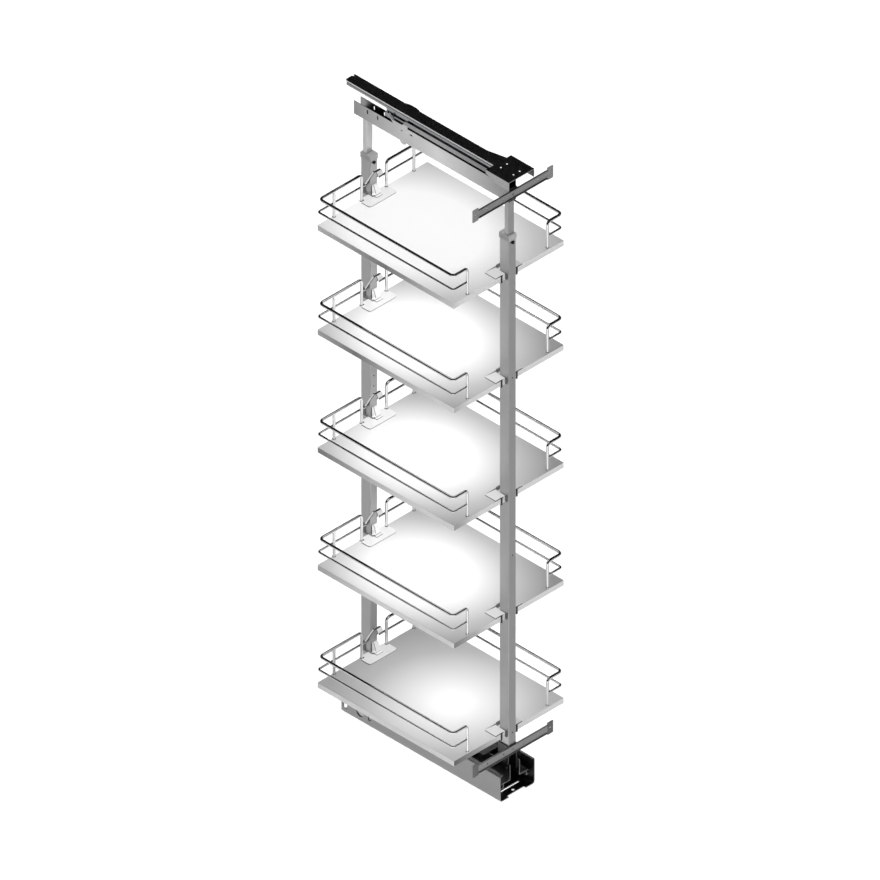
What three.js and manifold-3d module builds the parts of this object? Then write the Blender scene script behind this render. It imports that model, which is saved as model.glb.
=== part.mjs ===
// A pull-out larder unit: five trays on a telescopic post frame, which runs out of a tall cabinet
// on telescopic runners in a floor housing and is guided by a rail under the cabinet's top.
// Millimetres, +Z up, front towards -Y, origin at the middle of the floor housing's underside.

import * as THREE from 'three';
import { mergeVertices } from 'three/addons/utils/BufferGeometryUtils.js';
import Module from 'manifold-3d';

const wasm = await Module();
wasm.setup();

// ---------------------------------------------------------------- driving dimensions

const FIT = 0.3; // gap between two pieces that sit against each other
const PLAY = 0.5; // side gap of a part that slides past another
const RUNNING = 0.1; // radial gap of a pin that turns in a hole

// Floor housing: a folded channel with inward lips.
const HOUSING = { length: 543, width: 118, height: 77, wall: 2, lip: 10, corner: 8 };
const FLOOR_SLOT = { length: 70, width: 5, fromFront: 30.5 };
const FLOOR_HOLE = { radius: 4, fromFront: 15.4 };
const FLOOR_NOTCH = { width: 58, depth: 7 };
const WALL_NOTCH = { width: 12, fromBack: 8, above: 15 };
const WIDE_PORT = { radius: 13, fromBack: 64, z: 28 };
const SMALL_PORT = { radius: 6, fromBack: 96, z: 24 };

// Ball runners inside the housing, one on each side.
const RUNNER = { centreZ: 36, sheet: 1.8, innerHeight: 14.4, innerDepth: 7.5, wingDepth: 6.3 };
const RUNNER_BALL = { diameter: 5, play: 0.3, count: 3 };
const CAGE = { sheet: 0.7, armWidth: 4 };
const TRACK = { length: 466, frontGap: 50, lip: 3 };
const MIDDLE_RAIL = { length: 456, frontGap: 56 };
const OUTER_CAGE = { length: 218, centreY: 9 };
const INNER_CAGE = { length: 218, centreY: 15 };

// Carriage: two upright profiles that join the inner runner members to the posts.
const CARRIAGE = { length: 517, sheet: 2, innerGap: 30.2, bottom: 41, height: 45, ahead: 20 };
const CARRIAGE_PLATE = { width: 68, sheet: 2, frontGap: 52, backGap: 14, slot: 60, slotWidth: 16 };
const RIVET = { radius: 3, height: 1.5, z: 71 };

// Outer posts, with their feet, collars and clamp screws.
const POST = { width: 24, depth: 32, wall: 1.5, proud: 12, rearOverlap: 5 };
const FOOT = { sheet: 2.5, bottom: 60, height: 75, backHeight: 48, seat: 46 };
const COLLAR = { sheet: 1.2, skirt: 12, cap: 2.7 };
const CLAMP_SCREW = { below: 18, shank: 5, head: 9, headHeight: 3, socket: 4, socketDepth: 2 };
const FRONT_HOLES = { radius: 2, z: 170, pitch: 525, count: 3 };
const REAR_HOLES = { radius: 2, z: 959, pitch: 31, count: 2 };

// Upper frame: inner posts and the guide channel, which hangs this far under the top rail's face.
const INNER_POST = { width: 20.4, depth: 13.4, wall: 1.5, shown: 104.6, overlap: 300, inset: 4.1 };
const CHANNEL = { length: 530, width: 24.4, wall: 1.5, under: 89.4, lowHeight: 38.4, height: 63.4 };
const CHANNEL_STEP = { fromBack: 134, overhang: 13, tip: 5 };
const CHANNEL_DIP = { depth: 16, fromBack: 133, length: 30, rise: 15 };
const CHANNEL_SLOT = { fromFront: 76.5, length: 270, above: 43.9, height: 7, drop: 8, run: 30 };
const CHANNEL_LUG = { fromBack: 168, radius: 12, drop: 8 };
const UPRIGHT_PORTS = { width: 4, height: 12, above: 26.9, fromBack: 46.5, pitch: 35, count: 2 };
const SQUARE_PORT = { width: 4, height: 4, above: 30.9, fromBack: 164 };
const LONG_PORT = { width: 9, height: 4, above: 32.4, fromBack: 196 };

// Crossbars that the cabinet front is screwed to.
const BAR = { length: 275, height: 25, depth: 4, sheet: 1.6, endLength: 20, endHeight: 36, corner: 2 };
const BAR_HOLES = { radius: 2, offsets: [0, 32, 87] };
const UPPER_BAR = { above: 20.4 }; // above the guide channel's underside
const LOWER_BAR = { z: 122 };

// Top rail under the cabinet's top, its track and the sliding member between track and channel.
const TOP_RAIL = { length: 587, width: 33, top: 1834, sheet: 1.5, lip: 8, ahead: 14, corner: 7 };
const FLARE = { width: 87, length: 79, shoulder: 28.8, taper: 56, flange: 24, rearFlange: 11 };
const FLARE_HOLES = { radius: 2.6, x: 10.5, fromFront: [17, 60] };
const FLARE_DIMPLES = { radius: 3, depth: 0.6, x: 31.5, fromFront: 40.5 };
const TOP_RAIL_END = { notchX: 7, notchWidth: 5, notchDepth: 6, holeX: -11, fromBack: 26, radius: 2.2 };
const RAIL_BOSS = { y: 46, radius: 11, height: 1.2, bore: 4 };
const RAIL_BUMP = { y: 103, length: 50, proud: 4.5, slope: 12, corner: 6 };
const TRACK_CHANNEL = { width: 27, depth: 14.2, frontGap: 82.5, backGap: 2.5 };
const KEEL = { width: 8, wall: 1.5, depth: 64.2, frontGap: 82.5, length: 375 };
const SLIDER = { width: 16, wall: 1.5, under: 82, height: 48, frontGap: 85.5, length: 372 };
const SLIDER_PAD = { radius: 5, above: 25, spread: 165 };

// Trays.
const TRAY = { width: 376, depth: 467, board: 16, setback: 29, corner: 2 };
// Undersides of the boards: four from the floor up, and the top one down from the posts' top.
const TRAY_STACK = { first: 157, pitch: 348.4, count: 4, topBelow: 128.7 };
const POST_CLEARANCE = 1.6; // between a post and a tray's notch

// Tray rails: chromed wire.
const RAIL_WIRE = { radius: 3.8, bend: 10, height: 77.5, sideInset: 2.5, sides: 6 };
const LOW_WIRE = { radius: 2.8, bend: 6, height: 36.5, sideInset: 3, endX: 24, sides: 5, weld: 0.8 };
const RAIL_ROD = { frontX: 137, frontInset: 5.4, rearX: 136.5, endX: 42.5, rearInset: 5.4 };
const RAIL_PEG = { depth: 8, clearance: 0.4, collar: 1.2, collarHeight: 2.5, socketSides: 8 };

// Tray brackets.
const FRONT_BRACKET = { width: 91, depth: 38, sheet: 2.5, notchDepth: 31, hookX: 26, hookWidth: 4.5 };
const HOOK = { drop: 19, toe: 3, sheet: 1.6 };
const LUG = { sheet: 1.6, drop: 14, ahead: 6, depth: 14 };
const UPSTAND = { height: 7, width: 22 };
const REAR_BRACKET = { left: 49, right: 45.5, depth: 41, sheet: 3, corner: 8 };
const RIM = { wall: 2, height: 6, depth: 9 };
const SPRING_CLIP = { height: 29, depth: 14.5, sheet: 1.8, halfLeg: 8.6 };
const CLIP_RAMP = { left: 4.4, right: 14, taper: 5.4 };
const CHEEK = { sheet: 1.5, above: 6, ear: 11 };

// Latch lever.
const LEVER = { pivotBehind: 21.5, pivotZ: 22, thickness: 3, height: 5, stud: 4, hub: 4.5 };
const LEVER_RISE = [[8, 8], [23, 33], [32, 49], [42, 62], [57, 76]]; // arm, forward of and above the pivot
const FINGER = { width: 9.6, radius: 8, sheet: 2.2, sweep: 215 };

// ---------------------------------------------------------------- finishes

const finish = (color, roughness, metalness) =>
  new THREE.MeshStandardMaterial({ color, roughness, metalness });
const GREY_STEEL = finish(0x969696, 0.45, 0.2);
const ZINC = finish(0xb8bcbe, 0.35, 0.8);
const BLACK_STEEL = finish(0x161616, 0.5, 0.3);
const WHITE_BOARD = finish(0xf4f4f2, 0.5, 0);
const CHROME = finish(0xd8dadc, 0.12, 1);
const WHITE_STEEL = finish(0xe6e6e4, 0.45, 0.1);
const GREY_PLASTIC = finish(0x8c8c8c, 0.6, 0);

// ---------------------------------------------------------------- solids

// A closed geometry as a solid that can be joined and cut.
function solid(geometry) {
  geometry.deleteAttribute('normal');
  geometry.deleteAttribute('uv');
  const merged = mergeVertices(geometry, 1e-4);
  const vertProperties = new Float32Array(merged.attributes.position.array);
  const triVerts = new Uint32Array(merged.index.array);
  return new wasm.Manifold(new wasm.Mesh({ numProp: 3, vertProperties, triVerts }));
}

const join = (...bodies) => bodies.reduce((sum, body) => sum.add(body));
const cut = (body, ...tools) => tools.reduce((rest, tool) => rest.subtract(tool), body);

// A block between two values on each axis, given in either order.
function block(xs, ys, zs) {
  const spans = [xs, ys, zs].map(([a, b]) => [Math.min(a, b), Math.max(a, b)]);
  const geometry = new THREE.BoxGeometry(...spans.map(([low, high]) => high - low));
  geometry.translate(...spans.map(([low, high]) => (low + high) / 2));
  return solid(geometry);
}

const X = new THREE.Vector3(1, 0, 0);
const Y = new THREE.Vector3(0, 1, 0);
const Z = new THREE.Vector3(0, 0, 1);
// Outlines are drawn as (y, z) for axis x, (x, z) for axis y and (x, y) for axis z.
const DRAWN = {
  x: new THREE.Matrix4().makeBasis(Y, Z, X),
  y: new THREE.Matrix4().makeBasis(X, Z, Y.clone().negate()),
  z: new THREE.Matrix4(),
};

// An outline extruded along an axis from one place to another.
function extrude(shape, axis, from, to, curveSegments = 4) {
  const [low, high] = [Math.min(from, to), Math.max(from, to)];
  const geometry = new THREE.ExtrudeGeometry(shape, {
    depth: high - low, bevelEnabled: false, curveSegments,
  });
  geometry.applyMatrix4(DRAWN[axis]);
  const start = { x: [low, 0, 0], y: [0, high, 0], z: [0, 0, low] }[axis];
  geometry.translate(...start);
  return solid(geometry);
}

// A straight-sided outline.
const outline = (points) => new THREE.Shape(points.map(([a, b]) => new THREE.Vector2(a, b)));

// An outline whose corners are rounded: each point is [a, b] or [a, b, radius].
function roundedOutline(points) {
  const shape = new THREE.Shape();
  points.forEach(([a, b, radius = 0], i) => {
    const corner = new THREE.Vector2(a, b);
    const towards = (other) => {
      const point = new THREE.Vector2(other[0], other[1]);
      const distance = Math.min(radius, point.distanceTo(corner) / 2);
      return point.sub(corner).setLength(distance).add(corner);
    };
    const before = towards(points[(i + points.length - 1) % points.length]);
    const after = towards(points[(i + 1) % points.length]);
    if (i === 0) shape.moveTo(before.x, before.y);
    else shape.lineTo(before.x, before.y);
    if (radius > 0) shape.quadraticCurveTo(a, b, after.x, after.y);
  });
  shape.closePath();
  return shape;
}

const rectangle = (x0, x1, y0, y1, radius = 0) =>
  roundedOutline([[x0, y0, radius], [x1, y0, radius], [x1, y1, radius], [x0, y1, radius]]);

// A round rod or hole cutter centred at a point, along an axis.
function rod(radius, length, axis, centre, sides = 12) {
  const geometry = new THREE.CylinderGeometry(radius, radius, length, sides);
  if (axis === 'x') geometry.rotateZ(Math.PI / 2);
  if (axis === 'z') geometry.rotateX(Math.PI / 2);
  geometry.translate(...centre);
  return solid(geometry);
}

function ball(diameter, centre) {
  const geometry = new THREE.SphereGeometry(diameter / 2, 6, 3);
  geometry.translate(...centre);
  return solid(geometry);
}

// The centre line of a bent wire: straight runs with a round bend at each inner corner.
class WireLine extends THREE.Curve {
  constructor(corners, bend, bendSteps) {
    super();
    this.points = [];
    corners.forEach((corner, i) => {
      if (i === 0 || i === corners.length - 1) this.points.push(corner.clone());
      else this.addBend(corners[i - 1], corner, corners[i + 1], bend, bendSteps);
    });
  }

  addBend(before, corner, after, bend, steps) {
    const back = before.clone().sub(corner).normalize();
    const on = after.clone().sub(corner).normalize();
    const half = back.angleTo(on) / 2;
    const centre = back.clone().add(on).setLength(bend / Math.sin(half)).add(corner);
    const start = back.multiplyScalar(bend / Math.tan(half)).add(corner).sub(centre);
    const end = on.multiplyScalar(bend / Math.tan(half)).add(corner).sub(centre);
    const turn = start.angleTo(end);
    const axis = start.clone().cross(end).normalize();
    for (let i = 0; i <= steps; i += 1) {
      this.points.push(start.clone().applyAxisAngle(axis, turn * i / steps).add(centre));
    }
  }

  get steps() { return this.points.length - 1; }

  getPointAt(u, target = new THREE.Vector3()) {
    return target.copy(this.points[Math.round(u * this.steps)]);
  }

  getTangentAt(u, target = new THREE.Vector3()) {
    const i = Math.round(u * this.steps);
    const run = (a, b) => this.points[b].clone().sub(this.points[a]).normalize();
    const on = run(Math.min(i, this.steps - 1), Math.min(i, this.steps - 1) + 1);
    const from = run(Math.max(i, 1) - 1, Math.max(i, 1));
    return target.copy(on.add(from).normalize());
  }
}

// A wire of round section along a centre line.
function wire(line, radius, sides) {
  const section = new THREE.Shape();
  for (let i = 0; i < sides; i += 1) {
    const turn = (i + 0.5) * 2 * Math.PI / sides;
    const point = [radius * Math.cos(turn), radius * Math.sin(turn)];
    if (i === 0) section.moveTo(...point);
    else section.lineTo(...point);
  }
  section.closePath();
  return solid(new THREE.ExtrudeGeometry(section, {
    steps: line.steps, extrudePath: line, bevelEnabled: false,
  }));
}

// ---------------------------------------------------------------- assembly

const larder = new THREE.Group();

function place(name, body, material, parent = larder) {
  const { vertProperties, triVerts } = body.getMesh();
  const geometry = new THREE.BufferGeometry();
  geometry.setAttribute('position', new THREE.BufferAttribute(vertProperties, 3));
  geometry.setIndex(new THREE.BufferAttribute(triVerts, 1));
  geometry.computeVertexNormals();
  const mesh = new THREE.Mesh(geometry, material);
  mesh.name = name;
  parent.add(mesh);
}

const SIDES = [['left', -1], ['right', 1]];

// Shared places, worked out from the driving dimensions.
const housingFront = -HOUSING.length / 2;
const housingBack = HOUSING.length / 2;
const trayFront = housingFront + TRAY.setback;
const trayBack = trayFront + TRAY.depth;
const frontPostY = trayFront - POST.proud + POST.depth / 2;
const rearPostY = trayBack - POST.rearOverlap + POST.depth / 2;
const ENDS = [['front', frontPostY, -1], ['rear', rearPostY, 1]];
const postFace = (postY) => postY - POST.depth / 2;
const postBottom = FOOT.bottom + FOOT.seat + FOOT.sheet + FIT;
const channelBottom = TOP_RAIL.top - CHANNEL.under;
const channelTop = channelBottom + CHANNEL.height;
const postTop = channelBottom - INNER_POST.shown;

// ---------------------------------------------------------------- floor housing

function floorHousing() {
  const { width, height, wall, corner, lip } = HOUSING;
  const half = width / 2;
  const section = rectangle(-half, half, 0, height, corner);
  const hollow = rectangle(-half + wall, half - wall, wall, height - wall, corner - wall);
  section.holes.push(hollow);
  const across = [-width, width];
  const shell = cut(
    extrude(section, 'y', housingFront, housingBack, 4),
    block([-half + lip, half - lip], [housingFront - 1, housingBack + 1], [height / 2, height + 1]),
    extrude(rectangle(-FLOOR_SLOT.length / 2, FLOOR_SLOT.length / 2, 0, FLOOR_SLOT.width), 'z', -1, wall + 1)
      .translate([0, housingFront + FLOOR_SLOT.fromFront - FLOOR_SLOT.width / 2, 0]),
    rod(FLOOR_HOLE.radius, 3 * wall, 'z', [0, housingFront + FLOOR_HOLE.fromFront, wall / 2]),
    block([-FLOOR_NOTCH.width / 2, FLOOR_NOTCH.width / 2],
      [housingFront - 1, housingFront + FLOOR_NOTCH.depth], [-1, wall + 1]),
  );
  const notchBack = housingBack - WALL_NOTCH.fromBack;
  const notch = block(across, [notchBack - WALL_NOTCH.width, notchBack], [WALL_NOTCH.above, height + 1]);
  const ports = [WIDE_PORT, SMALL_PORT].map(({ radius, fromBack, z }) =>
    rod(radius, 2 * width, 'x', [0, housingBack - fromBack, z], 12));
  return cut(shell, notch, ...ports);
}

place('base_housing', floorHousing(), GREY_STEEL);

// ---------------------------------------------------------------- ball runners

// Half heights of the nested runner sections, from the carriage's member outwards.
const ballGap = RUNNER_BALL.diameter + 2 * RUNNER_BALL.play;
const innerTop = RUNNER.innerHeight / 2;
const middleUnder = innerTop + ballGap;
const middleTop = middleUnder + RUNNER.sheet;
const trackUnder = middleTop + ballGap;
const trackTop = trackUnder + RUNNER.sheet;

// Distances from the middle plane, from the housing's wall inwards.
const trackBackX = HOUSING.width / 2 - HOUSING.wall - FIT;
const trackWebX = trackBackX - RUNNER.sheet;
const outerCageX = trackWebX - PLAY;
const middleTipX = outerCageX - CAGE.sheet - PLAY;
const outerBallX = middleTipX - RUNNER_BALL.diameter / 2 + RUNNER_BALL.play;
const middleWebX = middleTipX - CAGE.armWidth;
const middleInnerTipX = middleWebX - RUNNER.sheet - RUNNER.wingDepth;
const innerCageX = middleWebX - RUNNER.sheet - PLAY;
const innerTipX = innerCageX - CAGE.sheet - PLAY;
const innerBallX = innerTipX - RUNNER_BALL.diameter / 2;
const innerWebX = innerTipX - RUNNER.innerDepth;

// A C or I section on one side: a web between two heights with a wing at top and bottom.
function runnerMember(side, ys, webX, wingX, top) {
  const centre = RUNNER.centreZ;
  const web = block(webX.map((x) => side * x), ys, [centre - top, centre + top]);
  const wings = [-1, 1].map((way) => block(
    wingX.map((x) => side * x), ys, [centre + way * top, centre + way * (top - RUNNER.sheet)]));
  return join(web, ...wings);
}

function fixedTrack(side) {
  const start = housingFront + TRACK.frontGap;
  const ys = [start, start + TRACK.length];
  const mouthX = middleWebX - RUNNER.sheet - RUNNER_BALL.play;
  const lips = [-1, 1].map((way) => block(
    [side * mouthX, side * (mouthX - RUNNER.sheet)], ys,
    [RUNNER.centreZ + way * trackTop, RUNNER.centreZ + way * (trackTop - TRACK.lip)]));
  return join(
    runnerMember(side, ys, [trackWebX, trackBackX], [mouthX - RUNNER.sheet, trackBackX], trackTop),
    ...lips);
}

function middleRail(side) {
  const start = housingFront + MIDDLE_RAIL.frontGap;
  return runnerMember(side, [start, start + MIDDLE_RAIL.length],
    [middleWebX - RUNNER.sheet, middleWebX], [middleInnerTipX, middleTipX], middleTop);
}

// A ball cage: two arms between the wings, joined by a web past the wing tips, with caught balls.
function ballCage(side, length, centreY, webX, ballX, level) {
  const ys = [centreY - length / 2, centreY + length / 2];
  const web = block([side * webX, side * (webX - CAGE.sheet)], ys,
    [RUNNER.centreZ - level, RUNNER.centreZ + level]);
  const arms = [-1, 1].map((way) => block(
    [side * webX, side * (webX - CAGE.armWidth)], ys,
    [RUNNER.centreZ + way * (level - CAGE.sheet / 2), RUNNER.centreZ + way * (level + CAGE.sheet / 2)]));
  const balls = [];
  for (let i = 0; i < RUNNER_BALL.count; i += 1) {
    const y = ys[0] + length * (i + 0.5) / RUNNER_BALL.count;
    [-1, 1].forEach((way) => balls.push(
      ball(RUNNER_BALL.diameter, [side * ballX, y, RUNNER.centreZ + way * level])));
  }
  return join(web, ...arms, ...balls);
}

SIDES.forEach(([name, side]) => {
  place(`fixed_track_${name}`, fixedTrack(side), ZINC);
  place(`middle_rail_${name}`, middleRail(side), ZINC);
  place(`outer_ball_cage_${name}`, ballCage(side, OUTER_CAGE.length, OUTER_CAGE.centreY,
    outerCageX, outerBallX, middleTop + ballGap / 2), ZINC);
  place(`inner_ball_cage_${name}`, ballCage(side, INNER_CAGE.length, INNER_CAGE.centreY,
    innerCageX, innerBallX, innerTop + ballGap / 2), ZINC);
});

// ---------------------------------------------------------------- carriage

const carriageFront = trayFront - CARRIAGE.ahead;
const carriageBack = carriageFront + CARRIAGE.length;
const carriageTop = CARRIAGE.bottom + CARRIAGE.height;
const uprightX = CARRIAGE.innerGap / 2;

function carriageProfile(side) {
  const ys = [carriageFront, carriageBack];
  const { sheet, bottom } = CARRIAGE;
  const upright = block([side * uprightX, side * (uprightX + sheet)], ys, [bottom, carriageTop]);
  const shelf = block([side * uprightX, side * (innerWebX + RUNNER.sheet / 2)], ys, [bottom, bottom + sheet]);
  const member = runnerMember(side, ys, [innerWebX, innerWebX + RUNNER.sheet],
    [innerWebX, innerTipX], innerTop);
  const rivets = ENDS.map(([, postY]) => rod(RIVET.radius, RIVET.height + sheet / 2, 'x',
    [side * (uprightX + sheet + RIVET.height / 2 - sheet / 4), postFace(postY) + RIVET.radius + 2,
      RIVET.z], 10));
  return join(upright, shelf, member, ...rivets);
}

function carriagePlate() {
  const half = CARRIAGE_PLATE.width / 2;
  const ys = [trayFront + CARRIAGE_PLATE.frontGap, postFace(rearPostY) - CARRIAGE_PLATE.backGap];
  const zs = [carriageTop + FIT, carriageTop + FIT + CARRIAGE_PLATE.sheet];
  const middle = (ys[0] + ys[1]) / 2;
  const reach = (ys[1] - ys[0]) / 3;
  const slot = rectangle(-CARRIAGE_PLATE.slotWidth / 2, CARRIAGE_PLATE.slotWidth / 2,
    -CARRIAGE_PLATE.slot / 2, CARRIAGE_PLATE.slot / 2, CARRIAGE_PLATE.slotWidth / 2);
  const slots = [-reach, 0, reach].map((offset) =>
    extrude(slot, 'z', zs[0] - 1, zs[1] + 1, 3).translate([0, middle + offset, 0]));
  return cut(extrude(rectangle(-half, half, ys[0], ys[1], 4), 'z', ...zs, 2), ...slots);
}

SIDES.forEach(([name, side]) => place(`carriage_${name}`, carriageProfile(side), GREY_STEEL));
place('carriage_plate', carriagePlate(), GREY_STEEL);

// ---------------------------------------------------------------- posts

// A shoe round a post's lower end, open on the outer side, whose ears rise beside the post.
function postFoot(postY, outward) {
  const inner = POST.width / 2 + FIT;
  const outer = inner + FOOT.sheet;
  const open = postY + outward * POST.depth / 2;
  const closed = postY - outward * (POST.depth / 2 + FIT);
  const back = closed - outward * FOOT.sheet;
  const ear = roundedOutline([[open, FOOT.bottom], [back, FOOT.bottom],
    [back, FOOT.bottom + FOOT.height, 6], [open, FOOT.bottom + FOOT.height, 6]]);
  return join(
    extrude(ear, 'x', -outer, -inner, 3),
    extrude(ear, 'x', inner, outer, 3),
    block([-outer, outer], [closed, back], [FOOT.bottom, FOOT.bottom + FOOT.backHeight]),
    block([-outer, outer], [open, back], [FOOT.bottom + FOOT.seat, FOOT.bottom + FOOT.seat + FOOT.sheet]),
  );
}

// A box section with rounded outer corners.
function tube(width, depth, wall, centreY, bottom, top) {
  const corner = wall + 0.5;
  const section = rectangle(-width / 2, width / 2, centreY - depth / 2, centreY + depth / 2, corner);
  section.holes.push(outline([
    [-width / 2 + wall, centreY - depth / 2 + wall], [width / 2 - wall, centreY - depth / 2 + wall],
    [width / 2 - wall, centreY + depth / 2 - wall], [-width / 2 + wall, centreY + depth / 2 - wall],
  ]));
  return extrude(section, 'z', bottom, top, 2);
}

const clampZ = postTop - CLAMP_SCREW.below;

function outerPost(postY, { radius, z, pitch, count }) {
  const face = postFace(postY);
  const body = tube(POST.width, POST.depth, POST.wall, postY, postBottom, postTop);
  const clampHole = rod(CLAMP_SCREW.shank / 2 + FIT, 4 * POST.wall, 'y', [0, face, clampZ], 10);
  const holes = [];
  for (let i = 0; i < count; i += 1) {
    holes.push(rod(radius, 4 * POST.wall, 'y', [0, face, z + i * pitch], 8));
  }
  return cut(body, clampHole, ...holes);
}

// The inner post sits towards the outer end of the outer post's bore.
const innerPostY = (postY, outward) =>
  postY + outward * (POST.depth / 2 - INNER_POST.inset - INNER_POST.depth / 2);

const innerPostTop = channelBottom - FIT;

function innerPost(postY, outward) {
  const centreY = innerPostY(postY, outward);
  const { width, depth, wall, overlap } = INNER_POST;
  return tube(width, depth, wall, centreY, postTop - overlap, innerPostTop);
}

// A cap on the outer post with a skirt outside and a window that guides the inner post.
function postCollar(postY, outward) {
  const reachX = POST.width / 2 + FIT;
  const reachY = POST.depth / 2 + FIT;
  const { sheet, skirt, cap } = COLLAR;
  const top = postTop + FIT + cap;
  const bottom = postTop - skirt;
  const shell = extrude(rectangle(-reachX - sheet, reachX + sheet, postY - reachY - sheet,
    postY + reachY + sheet, 2), 'z', bottom, top, 2);
  const windowY = innerPostY(postY, outward);
  return cut(shell,
    block([-reachX, reachX], [postY - reachY, postY + reachY], [bottom - 1, postTop + FIT]),
    block([-INNER_POST.width / 2 - FIT, INNER_POST.width / 2 + FIT],
      [windowY - INNER_POST.depth / 2 - FIT, windowY + INNER_POST.depth / 2 + FIT], [bottom, top + 1]));
}

// A hexagon socket screw through the post's front wall, its tip against the inner post.
function clampScrew(postY, outward) {
  const face = postFace(postY) - FIT;
  const tip = innerPostY(postY, outward) - INNER_POST.depth / 2 - FIT;
  const { shank, head, headHeight, socket, socketDepth } = CLAMP_SCREW;
  const screw = join(
    rod(shank / 2, tip - face + 1, 'y', [0, (tip + face - 1) / 2, clampZ], 10),
    rod(head / 2, headHeight, 'y', [0, face - headHeight / 2, clampZ], 12));
  return cut(screw,
    rod(socket / 2, socketDepth + 1, 'y', [0, face - headHeight + (socketDepth - 1) / 2, clampZ], 6));
}

ENDS.forEach(([name, postY, outward]) => {
  place(`${name}_post_foot`, postFoot(postY, outward), GREY_STEEL);
  place(`${name}_outer_post`, outerPost(postY, outward < 0 ? FRONT_HOLES : REAR_HOLES), GREY_STEEL);
  place(`${name}_post_collar`, postCollar(postY, outward), GREY_PLASTIC);
  place(`${name}_clamp_screw`, clampScrew(postY, outward), BLACK_STEEL);
  place(`${name}_inner_post`, innerPost(postY, outward), GREY_STEEL);
});

// ---------------------------------------------------------------- crossbars

// A channel open to the front, with a taller screw plate at each end.
function crossbar(z) {
  const { length, height, depth, sheet, endLength, endHeight, corner } = BAR;
  const back = postFace(frontPostY) - FIT;
  const half = length / 2;
  const flangeEnd = half - endLength;
  const web = roundedOutline([
    [-half, -endHeight / 2, corner], [-flangeEnd, -endHeight / 2, corner], [-flangeEnd, -height / 2],
    [flangeEnd, -height / 2], [flangeEnd, -endHeight / 2, corner], [half, -endHeight / 2, corner],
    [half, endHeight / 2, corner], [flangeEnd, endHeight / 2, corner], [flangeEnd, height / 2],
    [-flangeEnd, height / 2], [-flangeEnd, endHeight / 2, corner], [-half, endHeight / 2, corner],
  ]);
  const flanges = [-1, 1].map((way) => block([-flangeEnd, flangeEnd], [back - depth, back],
    [way * height / 2, way * (height / 2 - sheet)]));
  const places = BAR_HOLES.offsets.flatMap((x) => (x ? [-x, x] : [0]));
  const holes = [...places, -half + endLength / 2, half - endLength / 2].map((x) =>
    rod(BAR_HOLES.radius, 4 * sheet, 'y', [x, back - sheet / 2, 0], 8));
  return cut(join(extrude(web, 'y', back - sheet, back, 2), ...flanges), ...holes).translate([0, 0, z]);
}

place('lower_front_bar', crossbar(LOWER_BAR.z), GREY_STEEL);
place('upper_front_bar', crossbar(channelBottom + UPPER_BAR.above), GREY_STEEL);

// ---------------------------------------------------------------- upper channel

const channelFront = postFace(frontPostY);
const channelBack = channelFront + CHANNEL.length;

// The wall's outline: low at the back, then an S-shaped step up to an overhanging tip, and a
// shallow dip in front of the tip before the full height begins.
function channelWall() {
  const lowTop = channelBottom + CHANNEL.lowHeight;
  const foot = channelBack - CHANNEL_STEP.fromBack;
  const crest = foot + CHANNEL_STEP.overhang;
  const dipBack = channelBack - CHANNEL_DIP.fromBack;
  const dipFront = dipBack - CHANNEL_DIP.length;
  const dipTop = channelTop - CHANNEL_DIP.depth;
  const shape = new THREE.Shape();
  shape.moveTo(channelFront, channelBottom);
  shape.lineTo(channelBack, channelBottom);
  shape.lineTo(channelBack, lowTop);
  shape.lineTo(foot, lowTop);
  shape.bezierCurveTo(foot + CHANNEL_STEP.tip / 2, (lowTop + dipTop) / 2, crest, dipTop, crest, channelTop);
  shape.lineTo(crest - CHANNEL_STEP.tip, channelTop);
  shape.quadraticCurveTo(crest - CHANNEL_STEP.tip, dipTop, dipBack, dipTop);
  shape.lineTo(dipFront, dipTop);
  shape.bezierCurveTo(dipFront - CHANNEL_DIP.rise / 2, dipTop,
    dipFront - CHANNEL_DIP.rise / 2, channelTop, dipFront - CHANNEL_DIP.rise, channelTop);
  shape.lineTo(channelFront, channelTop);
  shape.closePath();
  return shape;
}

// The long slot in the wall, whose front end bends down.
function channelSlot() {
  const { fromFront, length, above, height, drop, run } = CHANNEL_SLOT;
  const front = channelFront + fromFront;
  const back = front + length;
  const bottom = channelBottom + above;
  const shape = new THREE.Shape();
  shape.moveTo(back, bottom);
  shape.lineTo(back, bottom + height);
  shape.lineTo(front, bottom + height);
  shape.quadraticCurveTo(front - run * 0.6, bottom + height, front - run, bottom + height - drop);
  shape.lineTo(front - run, bottom - drop + height / 3);
  shape.quadraticCurveTo(front - run * 0.6, bottom, front, bottom);
  shape.closePath();
  return shape;
}

// A rounded port cut through both walls.
function channelPort({ width, height, above }, fromBack) {
  const y = channelBack - fromBack;
  const z = channelBottom + above;
  const corner = Math.min(width, height) / 2;
  const port = rectangle(y - width / 2, y + width / 2, z - height / 2, z + height / 2, corner);
  return extrude(port, 'x', -CHANNEL.width, CHANNEL.width, 2);
}

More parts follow.
